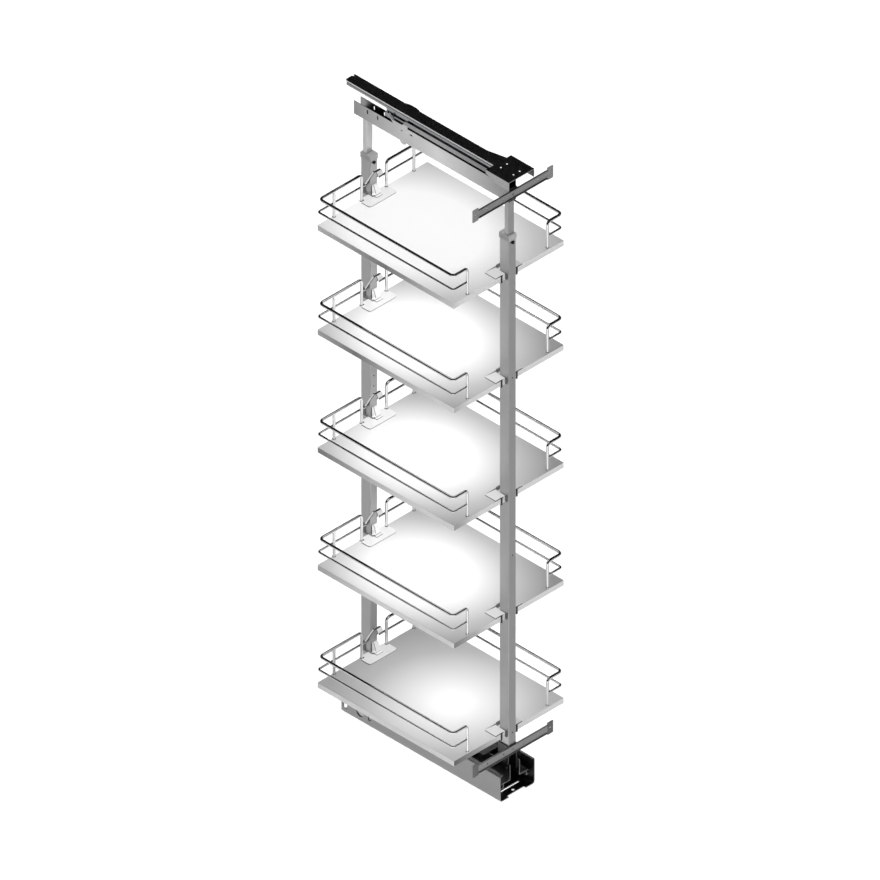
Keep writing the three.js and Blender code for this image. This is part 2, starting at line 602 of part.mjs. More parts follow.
function upperChannel() {
  const half = CHANNEL.width / 2;
  const { wall, lowHeight } = CHANNEL;
  const lugY = channelBack - CHANNEL_LUG.fromBack;
  const lugZ = channelBottom + CHANNEL_LUG.radius - CHANNEL_LUG.drop;
  const profile = channelWall();
  const walls = SIDES.map(([, side]) => join(
    extrude(profile, 'x', side * half, side * (half - wall)),
    rod(CHANNEL_LUG.radius, wall, 'x', [side * (half - wall / 2), lugY, lugZ], 16)));
  const across = [-half, half];
  const web = block(across, [channelFront, channelBack], [channelBottom, channelBottom + wall]);
  const nose = block(across, [channelFront, channelFront + wall], [channelBottom, channelBottom + lowHeight]);
  const ports = [SQUARE_PORT, LONG_PORT].map((port) => channelPort(port, port.fromBack));
  for (let i = 0; i < UPRIGHT_PORTS.count; i += 1) {
    ports.push(channelPort(UPRIGHT_PORTS, UPRIGHT_PORTS.fromBack + i * UPRIGHT_PORTS.pitch));
  }
  return cut(join(...walls, web, nose), extrude(channelSlot(), 'x', -2 * half, 2 * half), ...ports);
}

place('upper_channel', upperChannel(), GREY_STEEL);

// ---------------------------------------------------------------- top rail

const railFront = housingFront - TOP_RAIL.ahead;
const railBack = railFront + TOP_RAIL.length;
const flareBack = railFront + FLARE.length;
const taperBack = flareBack + FLARE.taper;
const railUnder = TOP_RAIL.top - TOP_RAIL.sheet;

// Wide in front with a square step on the left and a shoulder that tapers on the right.
function topRailPlate() {
  const half = TOP_RAIL.width / 2;
  const wide = FLARE.width / 2;
  const { corner } = TOP_RAIL;
  const { notchX, notchWidth, notchDepth } = TOP_RAIL_END;
  const bumpFront = RAIL_BUMP.y - RAIL_BUMP.length / 2;
  const bumpBack = RAIL_BUMP.y + RAIL_BUMP.length / 2;
  const bumpX = half + RAIL_BUMP.proud;
  return roundedOutline([
    [-wide, railFront], [wide, railFront], [wide, flareBack], [FLARE.shoulder, flareBack],
    [half, taperBack], [half, bumpFront], [bumpX, bumpFront + RAIL_BUMP.slope, RAIL_BUMP.corner],
    [bumpX, bumpBack - RAIL_BUMP.slope, RAIL_BUMP.corner], [half, bumpBack],
    [half, railBack, corner], [notchX + notchWidth, railBack],
    [notchX + notchWidth, railBack - notchDepth], [notchX, railBack - notchDepth], [notchX, railBack],
    [-half, railBack, corner],
    [-half, flareBack], [-wide, flareBack],
  ]);
}

// Folded edges: a flange that deepens towards the flare's front, and a shallow lip along the rail.
function topRailEdges(side) {
  const half = TOP_RAIL.width / 2;
  const wide = FLARE.width / 2;
  const { sheet, top, lip } = TOP_RAIL;
  const flange = new THREE.Shape();
  flange.moveTo(railFront, top);
  flange.lineTo(railFront, top - FLARE.flange);
  flange.lineTo(railFront + FLARE.length * 0.55, top - FLARE.flange);
  flange.bezierCurveTo(flareBack - FLARE.length * 0.2, top - FLARE.flange,
    flareBack - FLARE.length * 0.2, top - FLARE.rearFlange, flareBack, top - FLARE.rearFlange);
  flange.lineTo(flareBack, top);
  flange.closePath();
  const lipFront = side < 0 ? flareBack : taperBack;
  return join(
    extrude(flange, 'x', side * (wide - sheet), side * wide),
    block([side * half, side * (half - sheet)], [lipFront - sheet, railBack - TOP_RAIL.corner],
      [top - lip, top]));
}

// The lip along the right-hand shoulder's slope.
function shoulderLip() {
  const half = TOP_RAIL.width / 2;
  const { sheet, top, lip } = TOP_RAIL;
  return extrude(outline([[FLARE.shoulder, flareBack], [half, taperBack], [half - sheet, taperBack],
    [FLARE.shoulder - sheet, flareBack]]), 'z', top - lip, top);
}

function topRail() {
  const holes = FLARE_HOLES.fromFront.flatMap((y) => [-1, 1].map((side) => rod(FLARE_HOLES.radius,
    4 * TOP_RAIL.sheet, 'z', [side * FLARE_HOLES.x, railFront + y, TOP_RAIL.top], 8)));
  const dimples = [-1, 1].map((side) => rod(FLARE_DIMPLES.radius, 2 * FLARE_DIMPLES.depth, 'z',
    [side * FLARE_DIMPLES.x, railFront + FLARE_DIMPLES.fromFront, TOP_RAIL.top], 10));
  const endHole = rod(TOP_RAIL_END.radius, 4 * TOP_RAIL.sheet, 'z',
    [TOP_RAIL_END.holeX, railBack - TOP_RAIL_END.fromBack, TOP_RAIL.top], 8);
  const plate = cut(extrude(topRailPlate(), 'z', railUnder, TOP_RAIL.top, 4), ...holes, ...dimples, endHole);
  const boss = cut(
    rod(RAIL_BOSS.radius, RAIL_BOSS.height + TOP_RAIL.sheet, 'z',
      [0, RAIL_BOSS.y, TOP_RAIL.top + (RAIL_BOSS.height - TOP_RAIL.sheet) / 2], 16),
    rod(RAIL_BOSS.bore, RAIL_BOSS.height, 'z',
      [0, RAIL_BOSS.y, TOP_RAIL.top + RAIL_BOSS.height], 8));
  return join(plate, boss, shoulderLip(), ...SIDES.map(([, side]) => topRailEdges(side)));
}

// The track under the rail: a channel against the plate, and a keel that hangs into the guide channel.
function topTrack() {
  const under = railUnder - FIT;
  const half = TRACK_CHANNEL.width / 2;
  const { sheet } = TOP_RAIL;
  const ys = [railFront + TRACK_CHANNEL.frontGap, railBack - TRACK_CHANNEL.backGap];
  const channel = join(
    block([-half, half], ys, [under - sheet, under]),
    ...[-1, 1].map((side) => block([side * half, side * (half - sheet)], ys,
      [under - TRACK_CHANNEL.depth, under])));
  const keelHalf = KEEL.width / 2;
  const keelYs = [railFront + KEEL.frontGap, railFront + KEEL.frontGap + KEEL.length];
  const keelBottom = under - KEEL.depth;
  const keel = join(
    ...[-1, 1].map((side) => block([side * keelHalf, side * (keelHalf - KEEL.wall)], keelYs,
      [keelBottom, under - sheet / 2])),
    block([-keelHalf, keelHalf], keelYs, [keelBottom, keelBottom + KEEL.wall]));
  return join(channel, keel);
}

// The member between keel and channel: an upright U with round glide pads inside and outside.
function topSlider() {
  const half = SLIDER.width / 2;
  const front = railFront + SLIDER.frontGap;
  const ys = [front, front + SLIDER.length];
  const middle = front + SLIDER.length / 2;
  const bottom = TOP_RAIL.top - SLIDER.under;
  const channelInside = CHANNEL.width / 2 - CHANNEL.wall;
  const walls = [-1, 1].map((side) => block([side * half, side * (half - SLIDER.wall)], ys,
    [bottom, bottom + SLIDER.height]));
  const pads = [-1, 1].flatMap((side) => [-SLIDER_PAD.spread, SLIDER_PAD.spread].map((offset) => {
    const xs = [side * (KEEL.width / 2 + FIT), side * (channelInside - FIT)];
    const length = Math.abs(xs[1] - xs[0]);
    return rod(SLIDER_PAD.radius, length, 'x',
      [(xs[0] + xs[1]) / 2, middle + offset, bottom + SLIDER_PAD.above], 8);
  }));
  return join(...walls, block([-half, half], ys, [bottom, bottom + SLIDER.wall]), ...pads);
}

place('top_rail', topRail(), BLACK_STEEL);
place('top_track', topTrack(), ZINC);
place('top_slider', topSlider(), ZINC);

// ---------------------------------------------------------------- tray pieces
// Every tray piece is made with z = 0 at the board's top face.

const rodX = { front: RAIL_ROD.frontX, rear: RAIL_ROD.rearX, end: RAIL_ROD.endX };
const rodFrontY = trayFront + RAIL_ROD.frontInset;
const rodBackY = trayBack - RAIL_ROD.rearInset;
const railFootRadius = RAIL_WIRE.radius + RAIL_PEG.collar;
const RODS = [[rodX.front, rodFrontY], [rodX.rear, rodBackY], [rodX.end, rodBackY]];

function board() {
  const half = TRAY.width / 2;
  const gap = POST.width / 2 + POST_CLEARANCE;
  const frontNotch = postFace(frontPostY) + POST.depth + POST_CLEARANCE;
  const rearNotch = postFace(rearPostY) - POST_CLEARANCE;
  const shape = roundedOutline([
    [-half, trayFront, TRAY.corner], [-gap, trayFront], [-gap, frontNotch], [gap, frontNotch],
    [gap, trayFront], [half, trayFront, TRAY.corner], [half, trayBack, TRAY.corner],
    [gap, trayBack], [gap, rearNotch], [-gap, rearNotch], [-gap, trayBack],
    [-half, trayBack, TRAY.corner],
  ]);
  const radius = RAIL_WIRE.radius + RAIL_PEG.clearance;
  const sockets = RODS.flatMap(([x, y]) => [-1, 1].map((side) =>
    rod(radius, 2 * (RAIL_PEG.depth + FIT), 'z', [side * x, y, 0], RAIL_PEG.socketSides)));
  return cut(extrude(shape, 'z', -TRAY.board, 0, 2), ...sockets);
}

// One side's rail: the upper wire and its end legs are one bent wire, with a thinner wire
// welded to the side of the front leg and behind the back legs, one more leg at the back and
// a stop ring above each socket.
function trayRail(side) {
  const point = (x, y, z) => new THREE.Vector3(side * x, y, z);
  const sideX = TRAY.width / 2 - RAIL_WIRE.sideInset;
  const lowX = TRAY.width / 2 - LOW_WIRE.sideInset;
  const offset = RAIL_WIRE.radius + LOW_WIRE.radius - LOW_WIRE.weld;
  const peg = -RAIL_PEG.depth;
  const top = new WireLine([
    point(rodX.front, rodFrontY, peg), point(rodX.front, rodFrontY, RAIL_WIRE.height),
    point(sideX, rodFrontY, RAIL_WIRE.height), point(sideX, rodBackY, RAIL_WIRE.height),
    point(rodX.end, rodBackY, RAIL_WIRE.height), point(rodX.end, rodBackY, peg),
  ], RAIL_WIRE.bend, 2);
  const low = new WireLine([
    point(rodX.front, rodFrontY, LOW_WIRE.height), point(lowX, rodFrontY, LOW_WIRE.height),
    point(lowX, rodBackY + offset, LOW_WIRE.height),
    point(LOW_WIRE.endX, rodBackY + offset, LOW_WIRE.height),
  ], LOW_WIRE.bend, 2);
  const legHeight = RAIL_WIRE.height + RAIL_PEG.depth;
  const leg = rod(RAIL_WIRE.radius, legHeight, 'z',
    [side * rodX.rear, rodBackY, legHeight / 2 - RAIL_PEG.depth], RAIL_WIRE.sides);
  const rings = RODS.map(([x, y]) => rod(railFootRadius, RAIL_PEG.collarHeight, 'z',
    [side * x, y, FIT + RAIL_PEG.collarHeight / 2], RAIL_WIRE.sides));
  return join(wire(top, RAIL_WIRE.radius, RAIL_WIRE.sides), wire(low, LOW_WIRE.radius, LOW_WIRE.sides),
    leg, ...rings);
}

// A plate on the board with a notch for the post, lugs beside the post and a hook on each side
// of it that grips the board's front edge.
function frontBracket() {
  const half = FRONT_BRACKET.width / 2;
  const gap = POST.width / 2 + PLAY;
  const front = trayFront - FIT;
  const notchBack = trayFront + FRONT_BRACKET.notchDepth;
  const top = FIT + FRONT_BRACKET.sheet;
  const plate = roundedOutline([
    [-half, front], [-gap, front], [-gap, notchBack, 3], [gap, notchBack, 3], [gap, front],
    [half, front], [half, trayFront + FRONT_BRACKET.depth, 2], [-half, trayFront + FRONT_BRACKET.depth, 2],
  ]);
  const hooks = [-1, 1].flatMap((side) => {
    const xs = [side * (FRONT_BRACKET.hookX - FRONT_BRACKET.hookWidth / 2),
      side * (FRONT_BRACKET.hookX + FRONT_BRACKET.hookWidth / 2)];
    return [
      block(xs, [front - HOOK.sheet, front], [-HOOK.drop, top]),
      block(xs, [front - 0.5, front + 0.5], [FIT, top]),
      block(xs, [front - HOOK.sheet, front + HOOK.toe], [-HOOK.drop, -HOOK.drop + HOOK.sheet]),
    ];
  });
  const lugs = [-1, 1].map((side) => block(
    [side * gap, side * (gap + LUG.sheet - PLAY)],
    [trayFront - LUG.ahead, trayFront + LUG.depth], [-LUG.drop, top]));
  const upstand = block([-UPSTAND.width / 2, UPSTAND.width / 2],
    [notchBack - 0.5, notchBack + FRONT_BRACKET.sheet], [FIT, top + UPSTAND.height]);
  return join(extrude(plate, 'z', FIT, top, 2), ...hooks, ...lugs, upstand);
}

// The pivot of the latch lever, beside the rear post.
const pivotY = postFace(rearPostY) + LEVER.pivotBehind;
const cheekInner = POST.width / 2 + PLAY;
const cheekOuter = cheekInner + CHEEK.sheet;

// A folded spring clip: an upright leg against the post and a narrower ramp in front of it,
// which tapers on its right towards the fold.
function springClip() {
  const { height, depth, sheet, halfLeg } = SPRING_CLIP;
  const { left, right, taper } = CLIP_RAMP;
  const back = postFace(rearPostY) - PLAY;
  const top = FIT + height;
  const fold = 3 * sheet;
  const leg = extrude(rectangle(back - sheet, back, FIT, top), 'x', -halfLeg, halfLeg);
  const bridge = extrude(roundedOutline([[back - fold, top - sheet], [back, top - sheet], [back, top],
    [back - fold, top, sheet]]), 'x', -left, right, 3);
  const ramp = extrude(outline([[back - depth, FIT], [back - depth + sheet, FIT],
    [back - fold + sheet, top - sheet / 2], [back - fold, top - sheet / 2]]), 'x', -left, right);
  const waste = extrude(outline([[right + 1, FIT], [right, FIT], [right - taper, top + 1],
    [right + 1, top + 1]]), 'y', back - 2 * depth, back + 1);
  return join(leg, cut(join(bridge, ramp), waste));
}

// A plate on the board's back edge, with a rim round the post, a spring clip in front of it
// and an ear on each side of the post, one of which carries the lever.
function rearBracket() {
  const { left, right, depth, sheet, corner } = REAR_BRACKET;
  const back = trayBack;
  const front = back - depth;
  const face = postFace(rearPostY) - POST_CLEARANCE;
  const top = FIT + sheet;
  const stepX = rodX.end - railFootRadius - PLAY;
  const stepY = rodBackY - railFootRadius - PLAY;
  const plate = roundedOutline([
    [-left, front, corner], [right, front, corner], [right, stepY, 2],
    [stepX, stepY, 2], [stepX, back, 2], [cheekInner, back], [cheekInner, face],
    [-cheekInner, face], [-cheekInner, back], [-stepX, back, 2], [-stepX, stepY, 2], [-left, stepY, 2],
  ]);
  const rimFront = face - RIM.depth;
  const rimTop = FIT + RIM.height;
  const rim = cut(
    block([-cheekOuter, cheekOuter], [rimFront, back], [FIT, rimTop]),
    block([-cheekOuter + RIM.wall, cheekOuter - RIM.wall], [rimFront + RIM.wall, back + 1],
      [0, 2 * RIM.height]));
  const earFront = pivotY - CHEEK.ear / 2;
  const earBack = pivotY + CHEEK.ear / 2;
  const earTop = LEVER.pivotZ + CHEEK.above;
  const ear = roundedOutline([[face, FIT], [earBack, FIT, 3], [earBack, earTop, 5],
    [earFront, earTop, 5], [earFront, rimTop, 3], [face, rimTop]]);
  const cheeks = [-1, 1].map((side) => extrude(ear, 'x', side * cheekInner, side * cheekOuter, 2));
  const bore = rod(LEVER.stud / 2 + RUNNING, 2 * CHEEK.sheet + 2, 'x',
    [-(cheekInner + cheekOuter) / 2, pivotY, LEVER.pivotZ], 16);
  return cut(join(extrude(plate, 'z', FIT, top, 2), rim, springClip(), ...cheeks), bore);
}

// The lever: a curved arm that rises forward from its stud and ends in a rolled finger grip.
function latchLever() {
  const inner = -(cheekOuter + FIT);
  const outer = inner - LEVER.thickness;
  const spine = new THREE.CatmullRomCurve3([[0, 0], ...LEVER_RISE]
    .map(([ahead, up]) => new THREE.Vector3((inner + outer) / 2, pivotY - ahead, LEVER.pivotZ + up)));
  const section = rectangle(-LEVER.thickness / 2, LEVER.thickness / 2, -LEVER.height / 2, LEVER.height / 2);
  const arm = solid(new THREE.ExtrudeGeometry(section, {
    steps: 6, extrudePath: spine, bevelEnabled: false,
  }));
  const hub = rod(LEVER.hub, LEVER.thickness, 'x', [(inner + outer) / 2, pivotY, LEVER.pivotZ], 10);
  const studLength = CHEEK.sheet + 1;
  const stud = rod(LEVER.stud / 2, studLength, 'x',
    [inner + studLength / 2 - 0.5, pivotY, LEVER.pivotZ], 8);
  return join(arm, hub, stud, fingerGrip(outer));
}

// A sheet rolled forwards and down at the arm's end.
function fingerGrip(startX) {
  const [ahead, up] = LEVER_RISE[LEVER_RISE.length - 1];
  const { radius, sheet, sweep, width } = FINGER;
  const from = THREE.MathUtils.degToRad(100);
  const to = from + THREE.MathUtils.degToRad(sweep);
  const roll = new THREE.Shape();
  roll.absarc(0, 0, radius, from, to, false);
  roll.absarc(0, 0, radius - sheet, to, from, true);
  roll.closePath();
  return extrude(roll, 'x', startX, startX + width, 5)
    .translate([0, pivotY - ahead + 2, LEVER.pivotZ + up - radius + LEVER.height / 2 - 0.5]);
}

const TRAY_PIECES = [
  ['board', board(), WHITE_BOARD],
  ['rail_left', trayRail(-1), CHROME],
  ['rail_right', trayRail(1), CHROME],
  ['front_bracket', frontBracket(), WHITE_STEEL],
  ['rear_bracket', rearBracket(), WHITE_STEEL],
  ['latch_lever', latchLever(), ZINC],
];

const trayBottoms = [];
for (let i = 0; i < TRAY_STACK.count; i += 1) trayBottoms.push(TRAY_STACK.first + i * TRAY_STACK.pitch);
trayBottoms.push(postTop - TRAY_STACK.topBelow);

trayBottoms.forEach((bottom, i) => {
  const tray = new THREE.Group();
  tray.position.z = bottom + TRAY.board;
  larder.add(tray);
  TRAY_PIECES.forEach(([name, body, material]) => place(`tray${i + 1}_${name}`, body, material, tray));
});

export default larder;
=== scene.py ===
# %% [markdown]
# # A pull-out larder unit
# Five white trays hang between two telescopic posts. The posts ride on runners in a floor housing
# and are guided under a rail at the top of the cabinet. The engineering model gives every steel
# part its shape, so this lesson dresses those parts. It makes the bent wire, the coated boards and
# the latch levers anew, smoother than the engineering model has them, and gives each spring clip a
# small foot.

import bpy
import numpy as np
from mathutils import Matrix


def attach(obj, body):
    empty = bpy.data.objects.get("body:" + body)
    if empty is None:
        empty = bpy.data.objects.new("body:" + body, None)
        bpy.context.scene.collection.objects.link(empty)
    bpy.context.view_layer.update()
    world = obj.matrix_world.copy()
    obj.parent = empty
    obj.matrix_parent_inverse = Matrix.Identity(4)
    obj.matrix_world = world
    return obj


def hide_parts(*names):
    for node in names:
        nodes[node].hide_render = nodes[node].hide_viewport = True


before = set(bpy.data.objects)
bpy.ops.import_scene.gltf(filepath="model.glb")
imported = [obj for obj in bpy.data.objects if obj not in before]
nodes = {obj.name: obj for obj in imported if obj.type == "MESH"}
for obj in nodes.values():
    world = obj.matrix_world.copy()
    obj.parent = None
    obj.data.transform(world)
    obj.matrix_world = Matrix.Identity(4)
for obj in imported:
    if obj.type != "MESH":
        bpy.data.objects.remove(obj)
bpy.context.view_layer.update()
MM = 0.001
TRAYS = (1, 2, 3, 4, 5)
SIDES = (("left", -1), ("right", 1))

# %% [markdown]
# ## The camera
# The photograph is a parallel projection with all three axes equally foreshortened, an isometric
# view. An orthographic camera that looks along the diagonal of a cube gives exactly that.
# The scale is the number of metres across the picture.

# %% An isometric camera
AIM = np.array([0.0, -0.0068, 0.9122])
PICTURE_WIDTH = 2.1276
CAMERA_DISTANCE = 6.0
towards_camera = np.array([-1.0, -1.0, 1.0]) / np.sqrt(3)

camera_data = bpy.data.cameras.new("isometric_camera")
camera_data.type = "ORTHO"
camera_data.ortho_scale = PICTURE_WIDTH
camera_data.clip_end = 60
camera = bpy.data.objects.new("isometric_camera", camera_data)
bpy.context.scene.collection.objects.link(camera)
camera.location = AIM + CAMERA_DISTANCE * towards_camera
camera.rotation_euler = (np.arccos(towards_camera[2]), 0, -np.pi / 4)
bpy.context.scene.camera = camera
bpy.context.scene.view_settings.view_transform = "Standard"
print("camera at", np.round(camera.location, 3))

# %% [markdown]
# ## Helpers for materials
# Colours are written as they are read off a screen, in sRGB, and a shader wants them linear.
# One small function adds a node, sets its values and draws its links, so that a material reads
# as a list of its nodes.

# %% From a hex colour to a linear one
def linear(hex_colour):
    """An sRGB hex colour as linear red, green, blue and alpha.

    Below 0.04045 a channel is divided by 12.92, and above it is ((c + 0.055) / 1.055) to the 2.4.
    """
    channels = np.array([int(hex_colour[i:i + 2], 16) for i in (1, 3, 5)]) / 255
    low = channels / 12.92
    high = ((channels + 0.055) / 1.055) ** 2.4
    return (*np.where(channels <= 0.04045, low, high).tolist(), 1.0)


print("mid grey in linear light:", np.round(linear("#808080"), 3))


# %% Nodes and materials
def add_node(tree, kind, settings=None, **links):
    """Adds a node. Settings are its attributes or input values, and links join outputs of other
    nodes to its inputs."""
    node = tree.nodes.new(kind)
    for key, value in (settings or {}).items():
        if key in node.inputs:
            node.inputs[key].default_value = value
        else:
            setattr(node, key, value)
    for key, output in links.items():
        tree.links.new(output, node.inputs[key.replace("_", " ")])
    return node


def new_material(name):
    """An empty node material and its tree, with the output node in it."""
    material = bpy.data.materials.new(name)
    material.use_nodes = True
    tree = material.node_tree
    tree.nodes.clear()
    output = tree.nodes.new("ShaderNodeOutputMaterial")
    return material, tree, output


print("helpers for nodes:", add_node.__name__, new_material.__name__)

# %% [markdown]
# ## Tones along a line
# A real studio puts soft light and dark bands on smooth coated parts. Lamps that look right under
# any light can't, so some finishes carry painted light and shade as a slow change of tone. A few
# stops are enough: each stop is a distance on the part and the tone there, and a ramp runs straight
# from one to the next.

# %% A run of tones
def run_of_tones(tree, distance, stops):
    """A tone that follows a distance in metres: straight runs between (distance, tone) stops."""
    first, last = stops[0][0], stops[-1][0]
    share = add_node(tree, "ShaderNodeMapRange", {"From Min": first, "From Max": last},
                     Value=distance)
    run = add_node(tree, "ShaderNodeValToRGB", Fac=share.outputs["Result"])
    for number, (at, tone) in enumerate(stops):
        at = (at - first) / (last - first)
        stop = run.color_ramp.elements[number] if number < 2 else run.color_ramp.elements.new(at)
        stop.position = at
        stop.color = (tone, tone, tone, 1)
    return run.outputs["Color"]


print("helper for tones:", run_of_tones.__name__)

# %% [markdown]
# ## Sheet steel
# Most of the unit is cold-rolled sheet, bent and zinc-plated to a satin grey. Rolling leaves a fine
# grain along the sheet, which shows as a faint change of gloss. The metal has no colour of its
# own to scatter: it mirrors a white floor on its upright faces and a dark tent on its flat ones.

# %% A rolled steel material
GRAIN_WIDTH, GRAIN_LENGTH = 1.2, 40
ALONG_Y = (GRAIN_WIDTH, GRAIN_LENGTH, GRAIN_WIDTH)
UPRIGHT = (GRAIN_WIDTH, GRAIN_WIDTH, GRAIN_LENGTH)
ACROSS = (GRAIN_LENGTH, GRAIN_WIDTH, GRAIN_WIDTH)
GLOSS_CHANGE = 0.05
SHARP_EDGE = 0.0002
LIP_SHADE = 0.52


def rolled_steel(name, colour, roughness, grain_mm, tones=None, lip_height=None):
    """Satin metal whose gloss changes a little along the rolling grain.

    The grain is a noise on Object coordinates, stretched by the three lengths in grain_mm. With
    tones, the colour follows a run of painted light from front to back instead of being one
    colour, and above lip_height, in metres, it gets a painted shade, darker by LIP_SHADE.
    """
    material, tree, output = new_material(name)
    place = add_node(tree, "ShaderNodeTexCoord")
    stretch = add_node(tree, "ShaderNodeMapping", {"Scale": [1 / (mm * MM) for mm in grain_mm]},
                       Vector=place.outputs["Object"])
    grain = add_node(tree, "ShaderNodeTexNoise", {"Scale": 1.0, "Detail": 3.0},
                     Vector=stretch.outputs["Vector"])
    gloss = add_node(tree, "ShaderNodeMapRange",
                     {"To Min": roughness - GLOSS_CHANGE, "To Max": roughness + GLOSS_CHANGE},
                     Value=grain.outputs["Fac"])
    tone = add_node(tree, "ShaderNodeMapRange", {"To Min": 0.94, "To Max": 1.05},
                    Value=grain.outputs["Fac"])
    tint = add_node(tree, "ShaderNodeVectorMath",
                    {"operation": "SCALE"}, Scale=tone.outputs["Result"])
    tint.inputs[0].default_value = linear(colour)[:3]
    if tones:
        split = add_node(tree, "ShaderNodeSeparateXYZ", Vector=place.outputs["Object"])
        tree.links.new(run_of_tones(tree, split.outputs["Y"], tones), tint.inputs[0])
        lip = add_node(tree, "ShaderNodeMapRange",
                       {"From Min": lip_height, "From Max": lip_height + SHARP_EDGE,
                        "To Min": 1.0, "To Max": LIP_SHADE},
                       Value=split.outputs["Z"])
        shade = add_node(tree, "ShaderNodeMath", {"operation": "MULTIPLY"})
        tree.links.new(tone.outputs["Result"], shade.inputs[0])
        tree.links.new(lip.outputs["Result"], shade.inputs[1])
        tree.links.new(shade.outputs["Value"], tint.inputs["Scale"])
    relief = add_node(tree, "ShaderNodeBump", {"Strength": 0.05, "Distance": 0.0001},
                      Height=grain.outputs["Fac"])
    shader = add_node(tree, "ShaderNodeBsdfPrincipled", {"Metallic": 1.0},
                      Base_Color=tint.outputs["Vector"], Roughness=gloss.outputs["Result"],
                      Normal=relief.outputs["Normal"])
    tree.links.new(shader.outputs["BSDF"], output.inputs["Surface"])
    return material


print("helper for steel:", rolled_steel.__name__)

# %% The steels of the unit
SLOT_TOP = 1.7956
# The channel carries a painted highlight along its length and painted shade above its slot.
CHANNEL_PAINTED_HIGHLIGHT = [(-0.25, 0.36), (-0.01, 0.97), (0.27, 0.39)]
post_steel = rolled_steel("silver_coated_post_steel", "#b6b6b6", 0.34, UPRIGHT)
housing_steel = rolled_steel("zinc_plated_housing_steel", "#8b8b8b", 0.32, ALONG_Y)
channel_steel = rolled_steel("zinc_plated_channel_steel", "#e0e0e0", 0.30, ALONG_Y,
                             CHANNEL_PAINTED_HIGHLIGHT, SLOT_TOP)
back_post_steel = rolled_steel("bright_inner_post_steel", "#dadada", 0.34, UPRIGHT)
runner_steel = rolled_steel("bright_runner_steel", "#a8abad", 0.25, ALONG_Y)
bar_steel = rolled_steel("zinc_plated_bar_steel", "#b0b0b0", 0.45, ACROSS)
rail_steel = rolled_steel("dark_zinc_top_rail_steel", "#b9b9b9", 0.20, ALONG_Y)
# The feet and the carriage plate, in the shade under the lowest tray, get a darker steel: painted
# shade.
foot_steel = rolled_steel("shaded_foot_steel", "#5c5c5c", 0.40, UPRIGHT)
print("steels:", [m.name for m in bpy.data.materials if "steel" in m.name])

# %% [markdown]
# ## Chrome, black oxide, white enamel, moulded plastic
# The wire is chrome-plated: a smooth mirror with faint haze. Screws are black from a hot oxide
# bath. The brackets are pressed steel under white enamel, which pools smoothly, so only a very
# slight orange peel shows. The post collars are moulded from grey nylon with a fine spark grain.

# %% A coating
def coated(name, colour, roughness, grain_mm, relief_mm, metallic=0.0, coat=0.0):
    """A smooth coating: one colour, with a fine relief whose grain size is in millimetres."""
    material, tree, output = new_material(name)
    place = add_node(tree, "ShaderNodeTexCoord")
    grain = add_node(tree, "ShaderNodeTexNoise", {"Scale": 1 / (grain_mm * MM), "Detail": 2.0},
                     Vector=place.outputs["Object"])
    relief = add_node(tree, "ShaderNodeBump", {"Strength": 0.3, "Distance": relief_mm * MM},
                      Height=grain.outputs["Fac"])
    gloss = add_node(tree, "ShaderNodeMapRange",
                     {"To Min": roughness * 0.85, "To Max": roughness * 1.15},
                     Value=grain.outputs["Fac"])
    shader = add_node(tree, "ShaderNodeBsdfPrincipled",
                      {"Base Color": linear(colour), "Metallic": metallic, "Coat Weight": coat},
                      Roughness=gloss.outputs["Result"], Normal=relief.outputs["Normal"])
    tree.links.new(shader.outputs["BSDF"], output.inputs["Surface"])
    return material


print("helper for coatings:", coated.__name__)

# %% The coatings of the unit
chrome = coated("chrome_plate", "#ececec", 0.06, 30, 0.002, metallic=1.0)
lever_nickel = coated("pale_satin_nickel", "#ffffff", 0.35, 12, 0.004, metallic=0.1)
painted_shade_lever_edge = coated("painted_shade_nickel_edge", "#3c3c3c", 0.5, 2, 0.004, metallic=0.3)
shaded_lip_nickel = coated("painted_shade_satin_nickel_lip", "#d6d6d6", 0.35, 12, 0.004, metallic=0.1)
black_oxide = coated("black_oxide", "#161616", 0.4, 1.5, 0.01, metallic=0.6)
black_hook_finish = coated("black_hook_coat", "#141414", 0.45, 1.2, 0.01)
white_enamel = coated("white_enamel", "#f4f4f4", 0.3, 3.0, 0.01, coat=0.3)
# A greyer copy of the white enamel, painted shade, for the front brackets and the lowest tray's
# rear bracket.
shaded_white_enamel = coated("painted_shade_white_enamel", "#dfdfdf", 0.3, 3.0, 0.01, coat=0.3)
collar_nylon = coated("grey_moulded_nylon", "#a6a6a6", 0.5, 1.0, 0.02)
print("coatings:", [finish.name for finish in (chrome, lever_nickel, shaded_lip_nickel, black_oxide,
                                               black_hook_finish, white_enamel, collar_nylon)])
